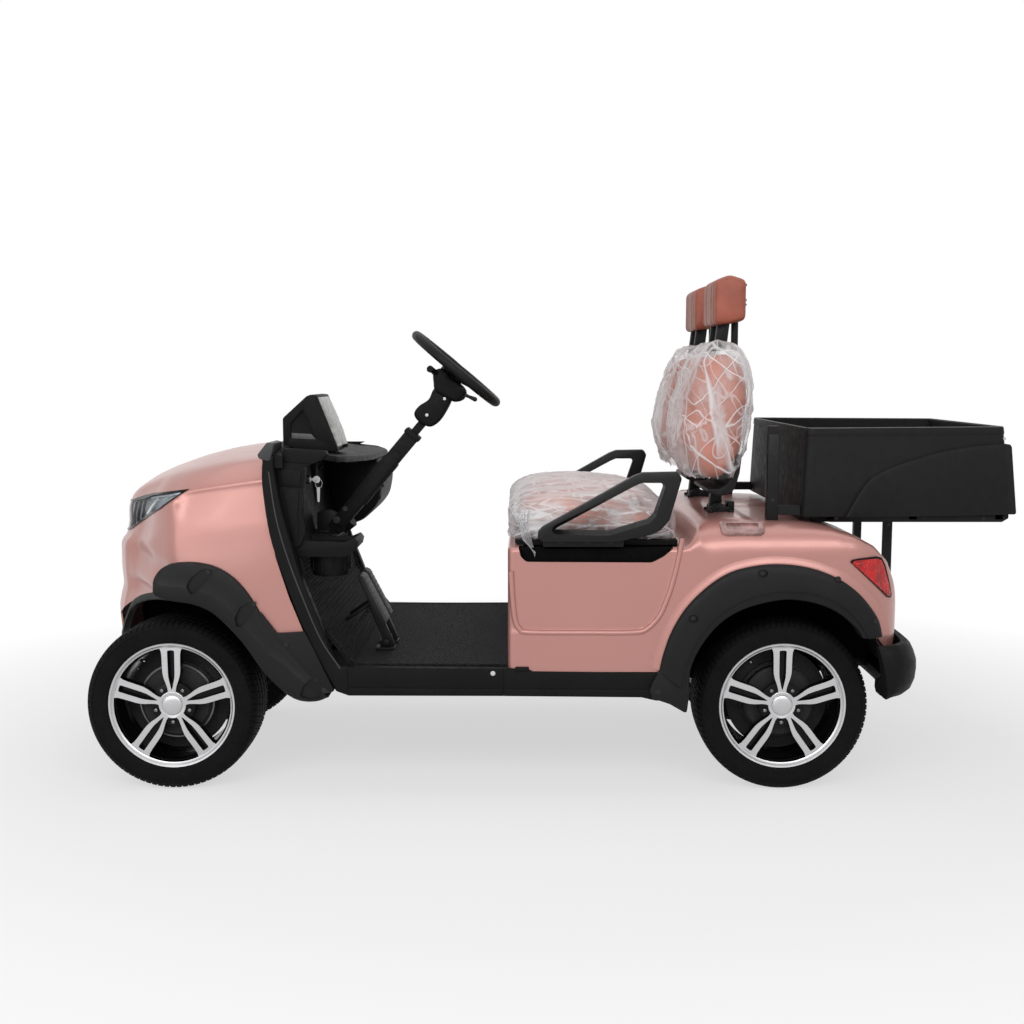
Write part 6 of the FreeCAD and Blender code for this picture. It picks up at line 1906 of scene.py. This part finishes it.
def outward_normals(ring):
    """The outward direction at each point of a closed outline."""
    area = sum(ring[i - 1][0] * ring[i][1] - ring[i][0] * ring[i - 1][1] for i in range(len(ring)))
    made = []
    for i in range(len(ring)):
        run = (Vector(ring[(i + 1) % len(ring)]) - Vector(ring[i - 1])).normalized()
        made.append(Vector((run.y, -run.x)) * (1 if area > 0 else -1))
    return made


def make_armrests():
    """A looped bar: round-edged outside, with a broad chamfer round its opening."""
    ring = rounded_off(rz([(758, 803), (757, 822), (744, 836), (474, 988), (448, 998), (343, 1000),
                           (331, 980), (366, 856), (392, 826), (420, 812), (525, 789), (744, 789)]),
                       [9, 9, 12, 30, 22, 14, 14, 22, 22, 16, 22, 9], 4)
    normals = outward_normals(ring)
    rows = [[(x - out.x * inset / 1000, y, z - out.y * inset / 1000) for (x, z), out in zip(ring, normals)]
            for y, inset in ((0.569, 5.0), (0.571, 2.0), (0.575, 0.4), (0.580, 0), (0.599, 0), (0.605, 0.8),
                             (0.6085, 2.6), (0.610, 6.0))]
    obj = mesh_object("armrest_left", Form(loft(rows)))
    inner = rounded_off(rz([(708, 826), (700, 833), (468, 958), (448, 966), (390, 966), (384, 958),
                            (412, 876), (430, 858), (548, 822)]), [4, 8, 24, 14, 10, 10, 14, 16, 12], 4)
    normals = outward_normals(inner)
    rows = []
    for y, grow in ((0.55, 0.0), (0.592, 0.0), (0.6095, 0.0075), (0.62, 0.0075)):
        reach = [grow * (0.5 + smoothstep(0.90 - z, 0.0, 0.05)) for x, z in inner]
        rows.append([(x + out.x * far, y, z + out.y * far)
                     for (x, z), out, far in zip(inner, normals, reach)])
    cut(obj, Form(loft(rows)))
    finish_piece(obj, ARM_PLASTIC, nodes=["armrests"], slot="black_plastic", angle=34)
    twin_of(obj, "armrest_right")
    foot = rounded_off(rz([(500, 772), (500, 800), (520, 806), (722, 806), (742, 800), (742, 772)]), 4, 3)
    form = Form(plate(foot, 0.527, 0.571), block((rx(740), 0.516, 0.776), (rx(500), 0.530, 0.786)))
    piece("armrest_feet", form.mirror(), STEEL, slot="black_plastic", edge=0.002)
    bolts("armrest_bolts", [(rx(x), 0.571, 0.790) for x in (690, 610, 540)], 0.006, 0.004, BOLT,
          "black_plastic")


TUB_FLOOR, TUB_RIM = 852, 1124             # heights, mm
TUB_FRONT, TUB_TAIL = -48, -728            # ends of the tub's foot behind the rear axle, mm
TUB_HALF, TUB_TAPER = 497, 105             # half-width at the foot's front, its loss at the tail, mm


def tub_ring(share, inset=0.0, radius=26):
    """Plan outline of the tub at a share of its height, from its floor to its rim."""
    front, tail = TUB_FRONT - 12 * share, TUB_TAIL + 34 * share
    half_front, half_tail = TUB_HALF - 5 * share, TUB_HALF - TUB_TAPER - 8 * share
    line = [(front - inset, half_front - inset * 1.15), (tail + inset, half_tail - inset),
            (tail + inset, -half_tail + inset), (front - inset, -half_front + inset * 1.15)]
    return [(x / 1000, y / 1000) for x, y in softened(line, max(4.0, radius), 6)]


def make_tub():
    """The cargo tub's shell, a pale line along its lip that is a painted highlight, and the ribs inside it.
    """
    levels = [(0.852, 0.0, 5.0), (0.854, 0.0, 1.6), (0.858, 0.02, 0.0), (0.98, 0.5, -0.6),
              (1.098, 0.91, 0.0), (1.101, 0.92, 0.0), (1.1025, 0.925, -0.9), (1.106, 0.93, -1.4),
              (1.120, 0.985, -1.4), (1.1232, 0.995, -0.6), (1.124, 1.0, 0.0), (1.124, 1.0, 5.0),
              (1.121, 0.99, 7.6), (1.05, 0.7, 9.0), (0.884, 0.1, 10.0), (0.866, 0.05, 16.0)]
    rings = [[(REAR + x, y, z) for x, y in tub_ring(share, inset, 24 - max(0, inset))]
             for z, share, inset in levels]
    piece("tub_shell", Form(loft(rings)), BOX_PLASTIC, nodes=["cargo_tub"], slot="tub_plastic", angle=34)
    # a thin pale tube round the rim: a painted highlight on the lip's edge
    lip = [(REAR + x, y, 1.1242) for x, y in tub_ring(1.0, 0.8, 24)]
    piece("tub_lip_painted_highlight", Form(tube(lip, 0.0016, 8, closed=True)), TUB_RIM_HIGHLIGHT, slot="tub_plastic", angle=60)
    # ribs inside the walls and across the floor
    form = Form()
    for x in np.linspace(-120, -650, 7):
        half = 0.497 - (TUB_FRONT - x) / 689 * 0.107 - 0.016
        form.add(block((rx(x) - 0.006, -half + 0.02, 0.864), (rx(x) + 0.006, half - 0.02, 0.871)))
        for side in (1, -1):
            a, b = sorted((side * (half - 0.006), side * (half + 0.004)))
            form.add(block((rx(x) - 0.005, a, 0.87), (rx(x) + 0.005, b, 1.09)))
    form.add(block((rx(-74), -0.46, 1.085), (rx(-68), 0.46, 1.095)))
    form.add(*(block((rx(-694), y - 0.005, 0.87), (rx(-684), y + 0.005, 1.09))
               for y in (-0.30, -0.1, 0.1, 0.30)))
    piece("tub_ribs", form, BOX_PLASTIC, slot="tub_plastic", edge=0.0015)


def make_tub_sweep():
    """The raised lower side, whose upper edge sweeps up towards the tail, and the tail wall's skin."""
    line = spline([(-184, 853), (-215, 909), (-248, 957), (-282, 984), (-333, 1006), (-391, 1025),
                   (-477, 1048), (-535, 1058), (-594, 1066), (-652, 1070), (-704, 1071)], 6)
    rows = []
    for x, top in line:
        share = (top - TUB_FLOOR) / (TUB_RIM - TUB_FLOOR)
        back = (TUB_FRONT - x) / (TUB_FRONT - TUB_TAIL)
        half = TUB_HALF - 5 * share - back * (TUB_TAPER + 3 * share)
        low_half = TUB_HALF - back * TUB_TAPER
        ring = []
        tall = max(4.0, top - 853)
        for z_off, rise in ((0, -4), (0, 1.5), (-1.2, 5.0), (-4, 8.0), (-9, 9.6), (-16, 10.0)):
            z = max(853.0, top + z_off)
            ring.append((rx(x), (half + (low_half - half) * (top - z) / tall + rise) / 1000, z / 1000))
        ring += [(rx(x), (low_half + rise) / 1000, z)
                 for rise, z in ((10.0, 0.8535), (8.5, 0.852), (-4, 0.852))]
        rows.append(ring)
    piece("tub_side_sweep", Form(loft(rows)).mirror(), BOX_PLASTIC, slot="tub_plastic", angle=50)
    tail = [(-690, 852), (-734, 852), (-736, 858), (-714, 1062), (-709, 1071), (-690, 1071)]
    piece("tub_tail_skin", Form(plate(rz(tail), -0.402, 0.402)), BOX_PLASTIC, slot="tub_plastic",
          edge=0.005, segments=3)
    bolts("tub_bolts", [(rx(-690), 0.398, 1.088)], 0.0035, 0.003, BOLT_BRIGHT, "tub_plastic")


def make_cargo_details():
    """Posts, rails, cross bars and bolts that show round the CAD frame."""
    post = softened([(rx(20), 0.438), (rx(20), 0.474), (rx(56), 0.474), (rx(56), 0.438)], 0.004, 3)
    rail = rounded_off(rz([(-140, 836), (-140, 851), (-720, 851), (-720, 838), (-700, 826), (-160, 826)]),
                       4, 2)
    form = Form(slab(post, 0.838, 1.106), plate(rail, 0.360, 0.378), plate(rail, 0.150, 0.165))
    form.add(*(block((rx(x) - 0.012, -0.38, 0.834), (rx(x) + 0.012, 0.38, 0.851))
               for x in (-160, -420, -690)))
    piece("cargo_brackets", form.mirror(), STEEL, slot="frame_steel", edge=0.002)
    places = ((38, 1044, 0.474), (38, 905, 0.474), (-389, 800, 0.2135), (-389, 560, 0.2135),
              (-180, 838, 0.378), (-640, 838, 0.378))
    bolts("cargo_bolts", [(rx(x), y, z / 1000) for x, z, y in places], 0.0045, 0.004, BOLT, "frame_steel")


HANDLE_Y, HANDLE_Z = 550.0, 822.0          # the handle's middle, mm
HANDLE_OUT, HANDLE_UP = 0.66, 0.75         # the direction that the handle faces


def make_handle():
    """Pull handle let into the deck: a rounded plate under clear wrap, with a finger slot."""
    outline = softened([(210, -24), (206, 20), (190, 26), (90, 26), (76, 14), (78, -22), (92, -28),
                        (196, -28)], [8, 8, 8, 12, 12, 8, 10, 8], 4)
    slot = softened([(192, -16), (190, 12), (98, 14), (92, -16)], 6, 4)

    def rise(points, start, end):
        rows = []
        mid = np.mean(np.array(points), axis=0)
        for height, keep in ((start, 1.0), (end - 2.5, 1.0), (end - 0.8, 0.985), (end, 0.955)):
            ring = []
            for a, b in points:
                x, t = mid[0] + (a - mid[0]) * keep, mid[1] + (b - mid[1]) * keep
                ring.append((rx(x), (HANDLE_Y + t * HANDLE_UP + height * HANDLE_OUT) / 1000,
                             (HANDLE_Z - t * HANDLE_OUT + height * HANDLE_UP) / 1000))
            rows.append(ring)
        return Form(loft(rows))

    obj = cut(mesh_object("handle_plate", rise(outline, -12, 13)), rise(slot, 5, 30))
    finish_piece(obj, HANDLE, nodes=["deck_handle"], slot="handle_metal", angle=40)
    twin_of(obj, "handle_plate_right")


make_armrests()
make_tub()
make_tub_sweep()
make_cargo_details()
make_handle()


# ---------------------------------------------------------------- stage, light and camera
def seen_directly(tree):
    """1 for camera, glossy and transmission rays, which see the plain pale studio."""
    path = tree.nodes.new("ShaderNodeLightPath")
    total = path.outputs["Is Camera Ray"]
    for ray in ("Is Glossy Ray", "Is Transmission Ray"):
        total = computed(tree, "MAXIMUM", total, path.outputs[ray])
    return total


def make_stage():
    """A pale floor that fades into the white studio away from the cart."""
    mesh = bpy.data.meshes.new("floor")
    reach = 30.0
    mesh.from_pydata([(-reach, -reach, 0), (reach, -reach, 0), (reach, reach, 0), (-reach, reach, 0)],
                     [], [(0, 1, 2, 3)])
    floor = bpy.data.objects.new("floor", mesh)
    bpy.context.scene.collection.objects.link(floor)
    mat, tree, shader, coords = blank_look("floor_pale")
    tree.nodes.remove(shader)
    diffuse = add_node(tree, "BsdfDiffuse", {"Color": (0.80, 0.80, 0.80, 1)})
    glow = add_node(tree, "Emission", {"Strength": 1.0})
    distance = add_node(tree, "VectorMath", {0: coords}, operation="LENGTH").outputs["Value"]
    share = computed(tree, "MULTIPLY", ranged(tree, distance, 0.62, 1.0, 1.6, 3.2), seen_directly(tree))
    tree.links.new(mixed(tree, share, diffuse.outputs[0], glow.outputs[0]),
                   tree.nodes["Material Output"].inputs["Surface"])
    mesh.materials.append(mat)


def make_world():
    world = bpy.data.worlds.new("studio")
    bpy.context.scene.world = world
    world.use_nodes = True
    tree = world.node_tree
    tree.nodes.clear()
    out = tree.nodes.new("ShaderNodeOutputWorld")
    dim, pale = (add_node(tree, "Background", {"Color": (1, 1, 1, 1), "Strength": strength}).outputs[0]
                 for strength in (0.30, 1.0))
    tree.links.new(mixed(tree, seen_directly(tree), dim, pale), out.inputs["Surface"])


def area_light(name, place, target, size, power):
    data = bpy.data.lights.new(name, "AREA")
    data.shape = "RECTANGLE"
    data.size, data.size_y = size
    data.energy = power
    lamp = bpy.data.objects.new(name, data)
    lamp.location = place
    lamp.rotation_euler = (Vector(target) - Vector(place)).to_track_quat("-Z", "Y").to_euler()
    bpy.context.scene.collection.objects.link(lamp)


def make_camera():
    data = bpy.data.cameras.new("camera")
    data.sensor_width = 36
    data.lens = 47.227
    data.shift_x = -0.01073
    data.shift_y = 0.02366
    camera = bpy.data.objects.new("camera", data)
    camera.location = (FRONT - 1.0948, 4.5692, 1.2880)
    camera.rotation_euler = (math.radians(90 - 6.896), 0, math.radians(180 + 0.10))
    bpy.context.scene.collection.objects.link(camera)
    bpy.context.scene.camera = camera


make_stage()
make_world()
area_light("overhead", (0.0, 0.0, 4.4), (0, 0, 0.3), (6.0, 3.2), 45)
area_light("side_key", (0.0, 4.6, 3.3), (0, 0.4, 0.75), (6.5, 1.8), 135)
area_light("front_side", (3.2, 3.8, 1.8), (0.9, 0.3, 0.7), (3.0, 2.2), 26)
make_camera()
bpy.context.scene.view_settings.view_transform = "Standard"
